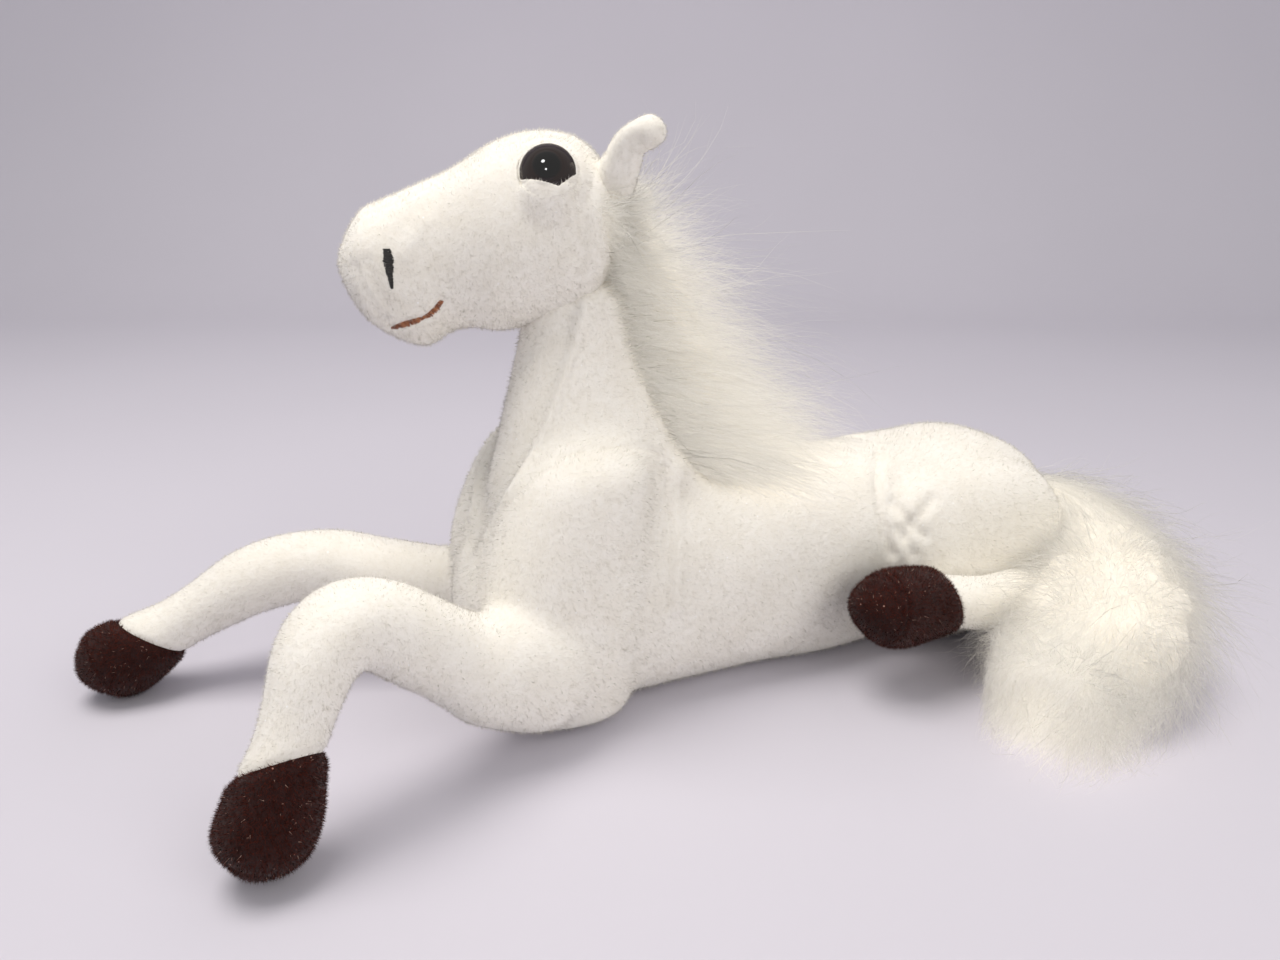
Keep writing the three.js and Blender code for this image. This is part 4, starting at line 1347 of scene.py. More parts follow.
    def creases(self, skin: Shell) -> list[Crease]:
        """The folds of the muzzle and cheek, laid on the skin and repeated on the right side."""
        tree = skin.tree()
        drawn = [(self.pinch, *self.pinch_size), (self.cheek_fold, *self.cheek_size)]
        drawn += [(fold, *self.muzzle_size) for fold in self.muzzle_folds]
        drawn += [(self.brow, *self.brow_size)]
        made = both_sides(tree, drawn, FRAME.on_head(0, 0, 0), FRAME.head_right)
        for side in Side:
            made.append(Crease(self.mouth_line(tree, side), *self.mouth_size))
            gusset = [
                self.cast(tree, FRAME.on_head(along, side.value * 0.2, 0.5), UP)
                for along in np.linspace(0.08, 0.97, 90)
            ]
            made.append(Crease(np.array(gusset), *self.gusset_size))
        return made

    @staticmethod
    def cast(tree: BVHTree, start: Points, way: Points) -> tuple[float, ...]:
        """Where a ray from inside the head meets its skin."""
        hit = tree.ray_cast(Vector(start), Vector(way))[0]
        return tuple(hit if hit is not None else start)

    def nostril_line(self, tree: BVHTree, side: Side) -> Points:
        """The middle line of a nostril on the head's skin."""
        along, up = self.nostril_shares
        way = FRAME.head_right * side.value
        half = self.nostril_tall / FRAME.head_height / 2
        places = [FRAME.on_head(along, 0, up + half * t) for t in np.linspace(-1, 1, 25)]
        return np.array([self.cast(tree, place, way) for place in places])

    def mouth_line(self, tree: BVHTree, side: Side) -> Points:
        """The mouth's line on one side of the head, from its front to its corner."""
        line = traced(tree, self.mouth, 1.2)
        return line if side is Side.LEFT else mirrored(line, FRAME.on_head(0, 0, 0), FRAME.head_right)

    def build(self, finishes: Finishes) -> None:
        """Make the head's skin, its pile, eyes and stitches."""
        form = SoftForm(
            Path.straight(FRAME.on_head(0, 0, 0), FRAME.on_head(1, 0, 0)), UP, self.rows, FRAME.head_height,
            FRAME.head_width, self.caps
        )
        skin = form.shell(240, 120, 30)
        offsets = lumps(skin.points, *self.lumps, 5)
        for crease in self.creases(skin):
            offsets = offsets + crease.offsets(skin.points)
        skin.lift(offsets)
        seats = [self.eye_seat(side) for side in Side]
        skin = skin.refined(nearest(skin.points, [centre for centre, _ in seats]) < 1.7 * self.eye_radius)
        self.socket(skin)
        piece = skin.add_object("head_plush", finishes.white_plush)
        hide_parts("forehead_gusset", "chin_gusset", "cheek_left", "cheek_right")
        arc = self.eye_arc
        tree = skin.tree()
        sewn = [line(tree, side) for line in (self.mouth_line, self.nostril_line) for side in Side]

        def off_the_eyes(points: Points) -> Points:
            """Which places are clear of the eyes and of the stitches."""
            clear = np.ones(len(points), bool)
            for line in sewn:
                clear &= distances(points, line, self.sewn_reach) > self.pile_gap
            for centre, facing in seats:
                away = points - centre
                depth = away @ facing
                reach = lengths(away - depth[:, None] * facing)
                dome = self.eye_dome - arc + np.sqrt(np.maximum(arc**2 - reach**2, 0))
                beyond = (depth < -self.behind_eye) | (depth > dome + self.over_eye)
                clear &= (reach > self.eye_radius) | beyond
            return clear

        lay = -FRAME.head_ahead - 0.5 * UP
        pile = HEAD_PILE.grow("head_pile", piece.data, finishes.white_pile, lay, 12, off_the_eyes)
        for part in (piece, pile):
            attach(part, "head")
        for side in Side:
            self.add_eye(side, finishes)
            self.add_nostril(side, tree, finishes)
        self.add_mouth(tree, finishes)
        log.info("head: %d faces", len(piece.data.polygons))

    def add_eye(self, side: Side, finishes: Finishes) -> None:
        """Lathe one eye: a dome with a faint ring where its two mouldings meet, a rim and a stem."""
        centre, facing = self.eye_seat(side)
        arc = self.eye_arc
        start = math.asin(self.eye_radius / arc)
        profile = [(0.0, -self.stem_length), (self.stem_radius, -self.stem_length)]
        profile += [(self.stem_radius, -2 * self.eye_rim), (0.9 * self.eye_radius, -1.2 * self.eye_rim)]
        profile += [(self.eye_radius, -0.8 * self.eye_rim), (self.eye_radius, -0.1 * self.eye_rim)]
        for share in np.linspace(1, 0, 40):
            radius = arc * math.sin(start * share)
            height = self.eye_dome - arc * (1 - math.cos(start * share))
            groove = self.eye_groove * math.exp(-(((radius / self.eye_radius - 0.5) / 0.03) ** 2))
            profile.append((radius, height - groove))
        sides = 72
        angle = 2 * math.pi * np.arange(sides) / sides
        across = unit(np.cross(facing, UP))
        high = np.cross(across, facing)
        ring = np.cos(angle)[:, None] * across + np.sin(angle)[:, None] * high
        rows = np.array(profile[1:-1])
        points = centre + rows[:, None, :1] * ring[None] + rows[:, None, 1:] * facing
        foot = centre + facing * profile[0][1]
        top = centre + facing * profile[-1][1]
        shell = Shell.round(foot, points, top)
        shell.faces = [[face[0], *face[:0:-1]] for face in shell.faces]
        piece = shell.add_object(f"eye_{side.label}_dome", finishes.acrylic)
        reach = np.concatenate(([0.0], np.repeat(rows[:, 0], sides), [0.0])) / self.eye_radius
        attribute = piece.data.attributes.new("from_middle", "FLOAT", "POINT")
        attribute.data.foreach_set("value", reach.astype(np.float32))
        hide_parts(f"eye_{side.label}")
        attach(piece, "head")

    def stitches(self, name: str, ends: Sequence[tuple[Points, Points]], outward: Points) -> Shell:
        """Lay threads side by side, each from one end to the other, a little proud in its middle.

        Args:
            name: what the stitches are for.
            ends: where each thread enters and leaves the plush.
            outward: the way out of the skin.

        Returns:
            All the threads as one skin.
        """
        sides, rings = 7, 9
        threads = []
        for start, end in ends:
            run = end - start
            ahead = unit(run)
            above = unit(outward - ahead * (outward @ ahead))
            across = np.cross(ahead, above)
            places = np.linspace(0, 1, rings)
            bow = np.sin(math.pi * places)
            middle = start + run * places[:, None] + above * ((bow - 0.35) * 1.3 * self.thread)[:, None]
            angle = 2 * math.pi * np.arange(sides) / sides
            ring = np.cos(angle)[:, None] * across + np.sin(angle)[:, None] * above
            thick = self.thread / 2 * (0.35 + 0.65 * np.minimum(1, 3.2 * bow))
            points = (middle[:, None] + ring[None] * thick[:, None, None]).reshape(-1, 3)
            at = np.arange(len(points)).reshape(rings, sides)
            threads.append(Shell(points, [*between(at), at[0, ::-1].tolist(), at[-1].tolist()]))
        log.info("%s: %d stitches", name, len(ends))
        return Shell.joined(threads)

    def add_nostril(self, side: Side, tree: BVHTree, finishes: Finishes) -> None:
        """Sew one nostril: level satin stitches that make a narrow triangle, point down."""
        rng = np.random.default_rng(20 + side.value)
        way = FRAME.head_right * side.value
        along, up = self.nostril_shares
        middle = FRAME.on_head(along, 0, up)
        count = int(self.nostril_tall / (0.62 * self.thread))
        ends = []
        for i in range(count):
            share = i / (count - 1)
            leaf = min(share / 0.72, 1) - 0.35 * max(share - 0.8, 0) / 0.2
            half = (self.nostril_wide[1] + (self.nostril_wide[0] - self.nostril_wide[1]) * leaf) / 2
            rise = (share - 0.5) * self.nostril_tall
            shift = self.nostril_slant * (1 - share)
            pair = []
            for sign in (-1, 1):
                reach = sign * half * rng.uniform(0.78, 1.15) - shift
                start = middle + FRAME.head_ahead * reach + UP * (rise + rng.uniform(-0.15, 0.15) * MM)
                pair.append(np.array(self.cast(tree, start, way)))
            ends.append((pair[0], pair[1]))
        shell = self.stitches("nostril", ends, way)
        piece = shell.add_object(f"nostril_{side.label}_stitches", finishes.black_thread)
        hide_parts(f"nostril_{side.label}")
        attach(piece, "head")

    def add_mouth(self, tree: BVHTree, finishes: Finishes) -> None:
        """Sew the mouth: short slanting stitches along its line, on both sides of the chin."""
        rng = np.random.default_rng(31)
        shells = []
        for side in Side:
            way = FRAME.head_right * side.value
            line = self.mouth_line(tree, side)
            ahead = unit(np.gradient(line, axis=0))
            ends = []
            for i in range(0, len(line) - 1):
                share = i / (len(line) - 1)
                across = unit(np.cross(ahead[i], way))
                lobe = share / 0.55 if share < 0.55 else (share - 0.55) / 0.45
                half = (0.6 + 1.3 * math.sin(math.pi * lobe) ** 0.7 * rng.uniform(0.6, 1.2)) * MM
                slant = ahead[i] * rng.uniform(-0.2, 0.7) * MM
                longer = rng.uniform(0.8, 1.2)
                ends.append((line[i] - across * half - slant, line[i] + across * half * longer + slant))
            shells.append(self.stitches("mouth", ends, way))
        piece = Shell.joined(shells).add_object("mouth_stitches", finishes.brown_thread)
        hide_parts("mouth_stitch")
        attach(piece, "head")


@dataclass
class Ear:
    """One ear: a small stuffed tube with a rolled tip and a seam down each edge."""

    side: Side
    length: float = 42 * MM
    thick: float = 14 * MM
    wide: float = 16 * MM
    root_shares: Triple = (0.045, 0.23, 0.62)
    lumps: Pair = (16 * MM, 0.25 * MM)
    seam_size: Pair = (1.4 * MM, -0.7 * MM)
    fold_size: Pair = (4.0 * MM, -1.6 * MM)
    rows: Rows = (
        (0, 0.8, -0.8, 0.62), (0.22, 0.7, -0.7, 0.56), (0.45, 0.54, -0.54, 0.47),
        (0.65, 0.46, -0.48, 0.43), (0.85, 0.44, -0.46, 0.42), (1, 0.4, -0.42, 0.38),
    )

    def knots(self) -> list[Points]:
        """The middle line's points. The left ear stands up and back, the right one flops out sideways."""
        shares = {
            Side.LEFT: ((0.02, -0.14, 0.18), (-0.08, 0.06, 0.44), (-0.2, 0.2, 0.68), (-0.48, 0.28, 0.8)),
            Side.RIGHT: ((0, 0, 0), (-0.14, 0.38, 0.06), (-0.34, 0.72, 0.06), (-0.54, 0.98, 0)),
        }[self.side]
        along, right, up = self.root_shares
        root = FRAME.on_head(along, self.side.value * right, up)
        return [
            root
            + FRAME.head_ahead * (ahead * self.length)
            + FRAME.head_right * (self.side.value * outward * self.length)
            + UP * (above * self.length)
            for ahead, outward, above in shares
        ]

    def build(self, finishes: Finishes) -> None:
        """Make the ear's skin and its pile."""
        flat = FRAME.head_right if self.side is Side.LEFT else UP
        path = Path.smooth(self.knots())
        form = SoftForm(path, flat, self.rows, self.thick, self.wide, (0.16, 0.16), 2.0)
        skin = form.shell(64, 48, 14)
        places = np.linspace(0.05, 0.95, 60)
        centre, above, side = form.sections(places)
        offsets = lumps(skin.points, *self.lumps, 7)
        for sign in (-1, 1):
            offsets = offsets + Crease(centre + sign * side, *self.seam_size).offsets(skin.points)
        fold = centre[10:45] + (above if self.side is Side.RIGHT else -above)[10:45]
        offsets = offsets + Crease(fold, *self.fold_size).offsets(skin.points)
        skin.lift(offsets)
        body = f"ear_{self.side.label}"
        piece = skin.add_object(f"{body}_plush", finishes.white_plush)
        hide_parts(f"ear_inner_{self.side.label}", f"ear_outer_{self.side.label}")
        lay = path.points[-1] - path.points[0]
        pile = EAR_PILE.grow(
            f"{body}_pile", piece.data, finishes.white_pile, lay / np.linalg.norm(lay), 40 + self.side.value
        )
        for part in (piece, pile):
            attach(part, body)


@dataclass
class Leg:
    """What a foreleg and a hind leg share: the lower stretch with its hoof."""

    side: Side
    lower_length: float = 90 * MM
    lower_thick: float = 34 * MM
    lower_rows: Rows = (
        (0, 0.46, -0.46, 0.45), (0.13, 0.46, -0.46, 0.45), (0.26, 0.41, -0.4, 0.4),
        (0.38, 0.38, -0.38, 0.38), (0.52, 0.38, -0.38, 0.39), (0.64, 0.44, -0.5, 0.45),
        (0.76, 0.46, -0.62, 0.51), (0.88, 0.42, -0.6, 0.52), (1, 0.28, -0.42, 0.44),
    )
    toe_share: float = 0.45
    seam_at: float = 46 * MM
    # How far the seam falls towards the toe at the front and at the inner side of the leg, per length
    seam_falls: Pair = (0.36, 0.0)
    dent_at: float = 68 * MM
    dent_wide: float = 10 * MM
    dent_deep: float = 1.5 * MM
    sole_at: float = 82 * MM
    # The width and depth of the hoof's seams, how far its plush stands out, and where that begins and is
    # full
    seam_size: Pair = (1.5 * MM, 1.0 * MM)
    sole_size: Pair = (1.4 * MM, 0.6 * MM)
    hoof_rise: float = 1.0 * MM
    hoof_from: Pair = (0.5 * MM, 4 * MM)
    sole_room: float = 2 * MM
    pile_gap: float = 2.2 * MM
    voxel: float = 1.2 * MM

    def way(self, outward: float, rise: float) -> Points:
        """A leg's direction, from how far it leans outward and how far it rises, in degrees."""
        level, lean = math.radians(rise), math.radians(outward)
        return np.array(
            (
                -math.cos(level) * math.cos(lean), self.side.value * math.cos(level) * math.sin(lean),
                math.sin(level)
            )
        )

    def limb(self, start: Points, ahead: Points, rows: Rows) -> SoftForm:
        """A limb that starts with a ball round its joint and ends in a round cap."""
        reach, thick, end = self.lower_length, self.lower_thick, self.toe_share
        whole = reach + thick / 2
        return SoftForm(
            Path.straight(start - ahead * thick / 2, start + ahead * reach), UP, rows, thick, thick,
            (thick / 2 / whole, end * thick / whole), 2.0
        )

    def seam_facing(self, ahead: Points) -> Points:
        """The way that the hoof's seam plane faces."""
        above = unit(UP - ahead * ahead[2])
        inner = unit(np.cross(ahead, above)) * -self.side.value
        front, inside = self.seam_falls
        return unit(ahead - above * front - inner * inside)

    def relief(self, points: Points, pivot: Points, ahead: Points) -> Points:
        """How far the hoof's seams press each point in, and how far its plush stands out.

        Args:
            points: the skin's points.
            pivot: the knee or hock.
            ahead: the way of the lower stretch.

        Returns:
            The offset of each point.
        """
        away = points - pivot
        along = away @ ahead
        aside = lengths(away - along[:, None] * ahead)
        near = (along > 0.3 * self.seam_at) & (aside < 1.2 * self.lower_thick)
        from_seam = (away - ahead * self.seam_at) @ self.seam_facing(ahead)
        from_sole = along - self.sole_at
        (seam_wide, seam_deep), (sole_wide, sole_deep) = self.seam_size, self.sole_size
        offsets = -seam_deep * np.exp(-((from_seam / seam_wide) ** 2))
        offsets += self.hoof_rise * ramp(from_seam, *self.hoof_from) * (from_sole < self.sole_room)
        offsets += -sole_deep * np.exp(-((from_sole / sole_wide) ** 2))
        out = RIGHTWARD * self.side.value
        dent = pivot + ahead * self.dent_at + unit(out - ahead * (out @ ahead)) * (self.lower_thick / 2)
        from_dent = lengths(points - dent) / self.dent_wide
        offsets -= self.dent_deep * np.exp(-(from_dent**2))
        return np.where(near, offsets, 0.0)

    def dress(
        self, skin: Shell, pivot: Points, ahead: Points, names: dict[str, str], body: str,
        finishes: Finishes
    ) -> tuple[Piece, Piece]:
        """Cut a leg's skin into its white sleeve, brown hoof and brown sole, and grow their pile.

        Args:
            skin: the leg's skin.
            pivot: the knee or hock.
            ahead: the way of the lower stretch.
            names: the name of the sleeve, and the nodes that the hoof and the sole stand for.
            body: the body that the hoof rides on.
            finishes: the materials.

        Returns:
            The sleeve and its pile.
        """
        def anywhere(points: Points) -> Points:
            """Every place."""
            return np.ones(len(points), bool)

        seam, sole = pivot + ahead * self.seam_at, pivot + ahead * self.sole_at
        white, brown = skin.parted(seam, self.seam_facing(ahead), anywhere)
        parts = dict(zip(("hoof", "sole"), brown.parted(sole, ahead, anywhere)))
        sleeve = white.closed().add_object(names["sleeve"], finishes.white_plush)
        facing = self.seam_facing(ahead)

        def off_the_seam(points: Points) -> Points:
            """Which places are so far from the hoof's seam that white pile doesn't lie over it."""
            return (points - seam) @ facing < -self.pile_gap

        pile = LEG_PILE.grow(
            names["sleeve"] + "_pile", sleeve.data, finishes.white_pile, ahead, 60 + self.side.value,
            off_the_seam
        )
        for part, shell in parts.items():
            piece = shell.closed().add_object(names[part] + "_plush", finishes.brown_plush)
            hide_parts(names[part])
            seed = 70 + self.side.value
            fur = HOOF_PILE.grow(names[part] + "_pile", piece.data, finishes.brown_pile, ahead, seed)
            for item in (piece, fur):
                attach(item, body)
        return sleeve, pile


@dataclass
class Foreleg(Leg):
    """A foreleg, stretched out in front and bent at the knee."""

    forearm_length: float = 85 * MM
    forearm_thick: float = 35 * MM
    root_shares: Triple = (0.028, 0.478, 0.335)
    rows: Rows = (
        (0, 0.6, -0.66, 0.6), (0.14, 0.58, -0.64, 0.58), (0.31, 0.53, -0.56, 0.52),
        (0.46, 0.5, -0.5, 0.49), (0.54, 0.49, -0.49, 0.48), (0.61, 0.45, -0.45, 0.45),
        (0.7, 0.38, -0.39, 0.38), (0.77, 0.37, -0.38, 0.37), (0.83, 0.42, -0.46, 0.42),
        (0.89, 0.45, -0.53, 0.45), (0.945, 0.46, -0.48, 0.44), (1, 0.34, -0.3, 0.36),
    )
    knee_out: float = 5 * MM
    knee_bend: float = 24 * MM
    # The filling is pushed up into the knee
    knee_shift_left: Triple = (6 * MM, 0.0, 6 * MM)
    knee_shift_right: Triple = (9 * MM, 0.0, 6 * MM)
    bend_room: float = 18 * MM
    # How far the middle line runs on past the knee, on the left and on the right
    lower_reach: Pair = (85 * MM, 95 * MM)
    # The chest is parted from the leg at the first of these distances from the elbow's root,
    # and the sleeve is parted in mid forearm.
    elbow_from: float = 8.5 * MM
    elbow_to: float = 36 * MM
    parting: float = 56 * MM
    elbow_aside: float = 0.48
    # The waddings above and below the knee, as shares of the leg's middle line
    wadding_shares: tuple[Pair, Pair] = ((0.19, 0.42), (0.63, 0.86))
    wadding_thick: float = 22 * MM
    wadding_rows: Rows = ((0, 0.4, -0.4, 0.4), (0.6, 0.4, -0.42, 0.4), (1, 0.4, -0.46, 0.42))
    bulge_end: Triple = (0.019, 0.038, 0.026)
    bulge_rows: Rows = ((0, 0.36, -0.36, 0.4), (0.5, 0.5, -0.5, 0.5), (1, 0.46, -0.5, 0.46))
    bulge_tall: float = 54 * MM
    bulge_wide: float = 40 * MM

    @property
    def root(self) -> Points:
        """The elbow."""
        along, across, up = self.root_shares
        return FRAME.on_body(along, self.side.value * across, up)

    @property
    def ways(self) -> tuple[Points, Points]:
        """The directions of the forearm and of the lower stretch."""
        angles = self.side.pick(((13.5, 31.5), (38, -59.3)), ((14, 7.5), (6, -21)))
        return self.way(*angles[0]), self.way(*angles[1])

    @property
    def knee(self) -> Points:
        """The knee."""
        return self.root + self.ways[0] * self.forearm_length

    @property
    def shoulder(self) -> Points:
        """The middle of the soft stretch between shoulder and forearm."""
        return self.root + np.array((0.03, 0.0, 0.02))

    @property
    def out_of_chest(self) -> Points:
        """The level direction in which the forearm leaves the chest."""
        return unit(FORWARD + RIGHTWARD * (self.side.value * self.elbow_aside))

    def forms(self) -> list[SoftForm]:
        """The forms of the leg: elbow, forearm and lower stretch."""
        upper = self.ways[0]
        end = np.array(self.bulge_end) * np.array((1, self.side.value, 1))
        bulge = Path.straight(self.root + upper * self.forearm_thick, end)
        return [
            SoftForm(bulge, UP, self.bulge_rows, self.bulge_tall, self.bulge_wide, (0.3, 0.35), 2.0),
            SoftForm(self.middle(), UP, self.rows, self.lower_thick, self.lower_thick, (0.09, 0.07), 2.0),
        ]

    def __post_init__(self) -> None:
        """Set the slant of the hoof's seam, which differs because the legs lie turned."""
        self.seam_falls = self.side.pick((0.15, 0.62), (0.7, -0.3))
        self.seam_at = self.side.pick(46 * MM, 57 * MM)

    def middle(self) -> Path:
        """The leg's middle line, rounded at the knee."""
        upper, lower = self.ways
        shift = self.side.pick(self.knee_shift_left, self.knee_shift_right)
        corner = self.knee + unit(upper - lower) * self.knee_out + np.array(shift)
        before, after = corner - upper * self.knee_bend, corner + lower * self.knee_bend
        t = np.linspace(0, 1, 17)[:, None]
        bend = before * (1 - t) ** 2 + 2 * corner * t * (1 - t) + after * t**2
        start = self.root - upper * (self.forearm_thick / 2)
        reach = self.side.pick(*self.lower_reach)
        return Path(np.array([start, *bend, self.knee + lower * reach]))

    def add_waddings(self, finishes: Finishes) -> None:
        """Fill the leg above and below the knee, a little smaller than its skin."""
        label = self.side.label
        middle = self.middle()
        for (start, end), part, node in zip(self.wadding_shares, ("upper", "lower"), ("forearm", "cannon")):
            path = Path(middle.at(np.linspace(start, end, 12)))
            thick = self.wadding_thick
            form = SoftForm(path, UP, self.wadding_rows, thick, thick, (0.2, 0.2), 2.0)
            wadding = form.shell(32, 24, 8).add_object(f"foreleg_{label}_{part}_wadding", finishes.wadding)
            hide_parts(f"{node}_filling_{label}")
            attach(wadding, f"foreleg_{label}_{part}")

    def own_side(self, points: Points) -> Points:
        """Which places are on the leg's side of the horse."""
        return points[:, 1] * self.side.value > 0

    def build(self, skin: Shell, finishes: Finishes) -> Shell:
        """Cut the leg from the skin that it shares with the chest.

        Args:
            skin: the skin of chest and legs.
            finishes: the materials.

        Returns:
            The skin without the leg.
        """
        label = self.side.label
        upper, lower = self.ways
        start, end = (self.root + self.out_of_chest * reach for reach in (self.elbow_from, self.elbow_to))
        chest, leg = skin.parted(start, self.out_of_chest, self.own_side)
        elbow, rest = leg.parted(self.root + upper * self.parting, upper, self.own_side)
        names = {"sleeve": f"foreleg_{label}_sleeve", "hoof": f"hoof_{label}", "sole": f"sole_{label}"}
        body, above = f"foreleg_{label}_lower", f"foreleg_{label}_upper"
        self.add_waddings(finishes)
        sleeve, pile = self.dress(rest, self.knee, lower, names, body, finishes)
        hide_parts(f"cannon_{label}")
        for part in (sleeve, pile):
            ends = (self.knee - upper * self.bend_room, self.knee + lower * self.bend_room)
            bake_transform(part)
        piece = elbow.closed().add_object(f"foreleg_{label}_elbow", finishes.white_plush)
        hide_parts(f"forearm_{label}")
        seed = 65 + self.side.value
        pile = LEG_PILE.grow(f"foreleg_{label}_elbow_pile", piece.data, finishes.white_pile, upper, seed)
        for part in (piece, pile):
            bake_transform(part)
        log.info("foreleg %s: %d faces", label, len(sleeve.data.polygons) + len(piece.data.polygons))
        return chest


@dataclass
class HindLeg(Leg):
    """A hind leg's lower stretch, which comes out from under the haunch."""

    lower_length: float = 98 * MM
    toe_fill: float = 0.86
    lumps: Pair = (30 * MM, 0.45 * MM)
    root_shares: Triple = (0.8, 0.672, 0.3)

    def build(self, finishes: Finishes) -> None:
        """Make the shank's skin and its hoof."""
        label = self.side.label
        angles = self.side.pick((3, 12), (3, -8))
        along, across, up = self.root_shares
        hock = FRAME.on_body(along, self.side.value * across, up)
        ahead = self.way(*angles)
        rows = [
            (place, *(half * (1 - (1 - self.toe_fill) * max(place - 0.5, 0) * 2) for half in halves))
            for place, *halves in self.lower_rows
        ]
        form = self.limb(hock, ahead, rows)
        skin = melded([form.shell(48, 50, 12)], self.voxel, 4)
        skin.lift(lumps(skin.points, *self.lumps, 55) + self.relief(skin.points, hock, ahead))
        skin.flatten()
        names = {"hoof": f"hind_hoof_{label}", "sole": f"hind_sole_{label}"}
        names["sleeve"] = f"shank_{label}_sleeve"
        body = f"hindleg_{label}"
        sleeve, pile = self.dress(skin, hock, ahead, names, body, finishes)
        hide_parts(f"shank_{label}")
        for part in (sleeve, pile):
            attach(part, body)
        log.info("hind leg %s: %d faces", label, len(sleeve.data.polygons))


@dataclass
class Hair:
    """What the mane and the tail share: long strands over a matted ground."""

    strands: int = 14000
    pieces: int = 3
    clumps: int = 320
    steps: int = 8
    width: float = 0.17 * MM
    curls: Pair = (5.5 * MM, 2.4 * MM)
    spreads: Pair = (0.45, 0.2)

    def curled(self, lines: Points, stray: Points, rng: np.random.Generator) -> Points:
        """Strands with a wave of their own that grows from the root on, and that is wider in stray ones."""
        count = len(lines)
        wave = rng.uniform(0, 2 * math.pi, (count, 1, 3))
        ease = np.linspace(0, 1, self.steps)[None, :, None]
        curl = (np.where(stray, *self.curls) * rng.uniform(0.4, 1.3, count))[:, None, None]
        return lines + np.sin(wave + ease * rng.uniform(3, 11, (count, 1, 1))) * ease * curl

    def grown(self, name: str, skin: Shell, seed: int, finishes: Finishes) -> list[Piece]:
        """The ground and the strands as pieces. The strands' flat sides and shading scatter a little."""
        parts = [skin.add_object(f"{name}_ground", finishes.fur_ground)]
        for number in range(self.pieces):
            rng = np.random.default_rng(seed + number)
            lines, facing = self.hairs(self.strands, rng)
            flat, shading = (unit(facing + part * rng.normal(size=facing.shape)) for part in self.spreads)
            parts.append(
                add_ribbons(f"{name}_fur_{number + 1}", lines, flat, shading, self.width, finishes.long_fur)
            )
        return parts


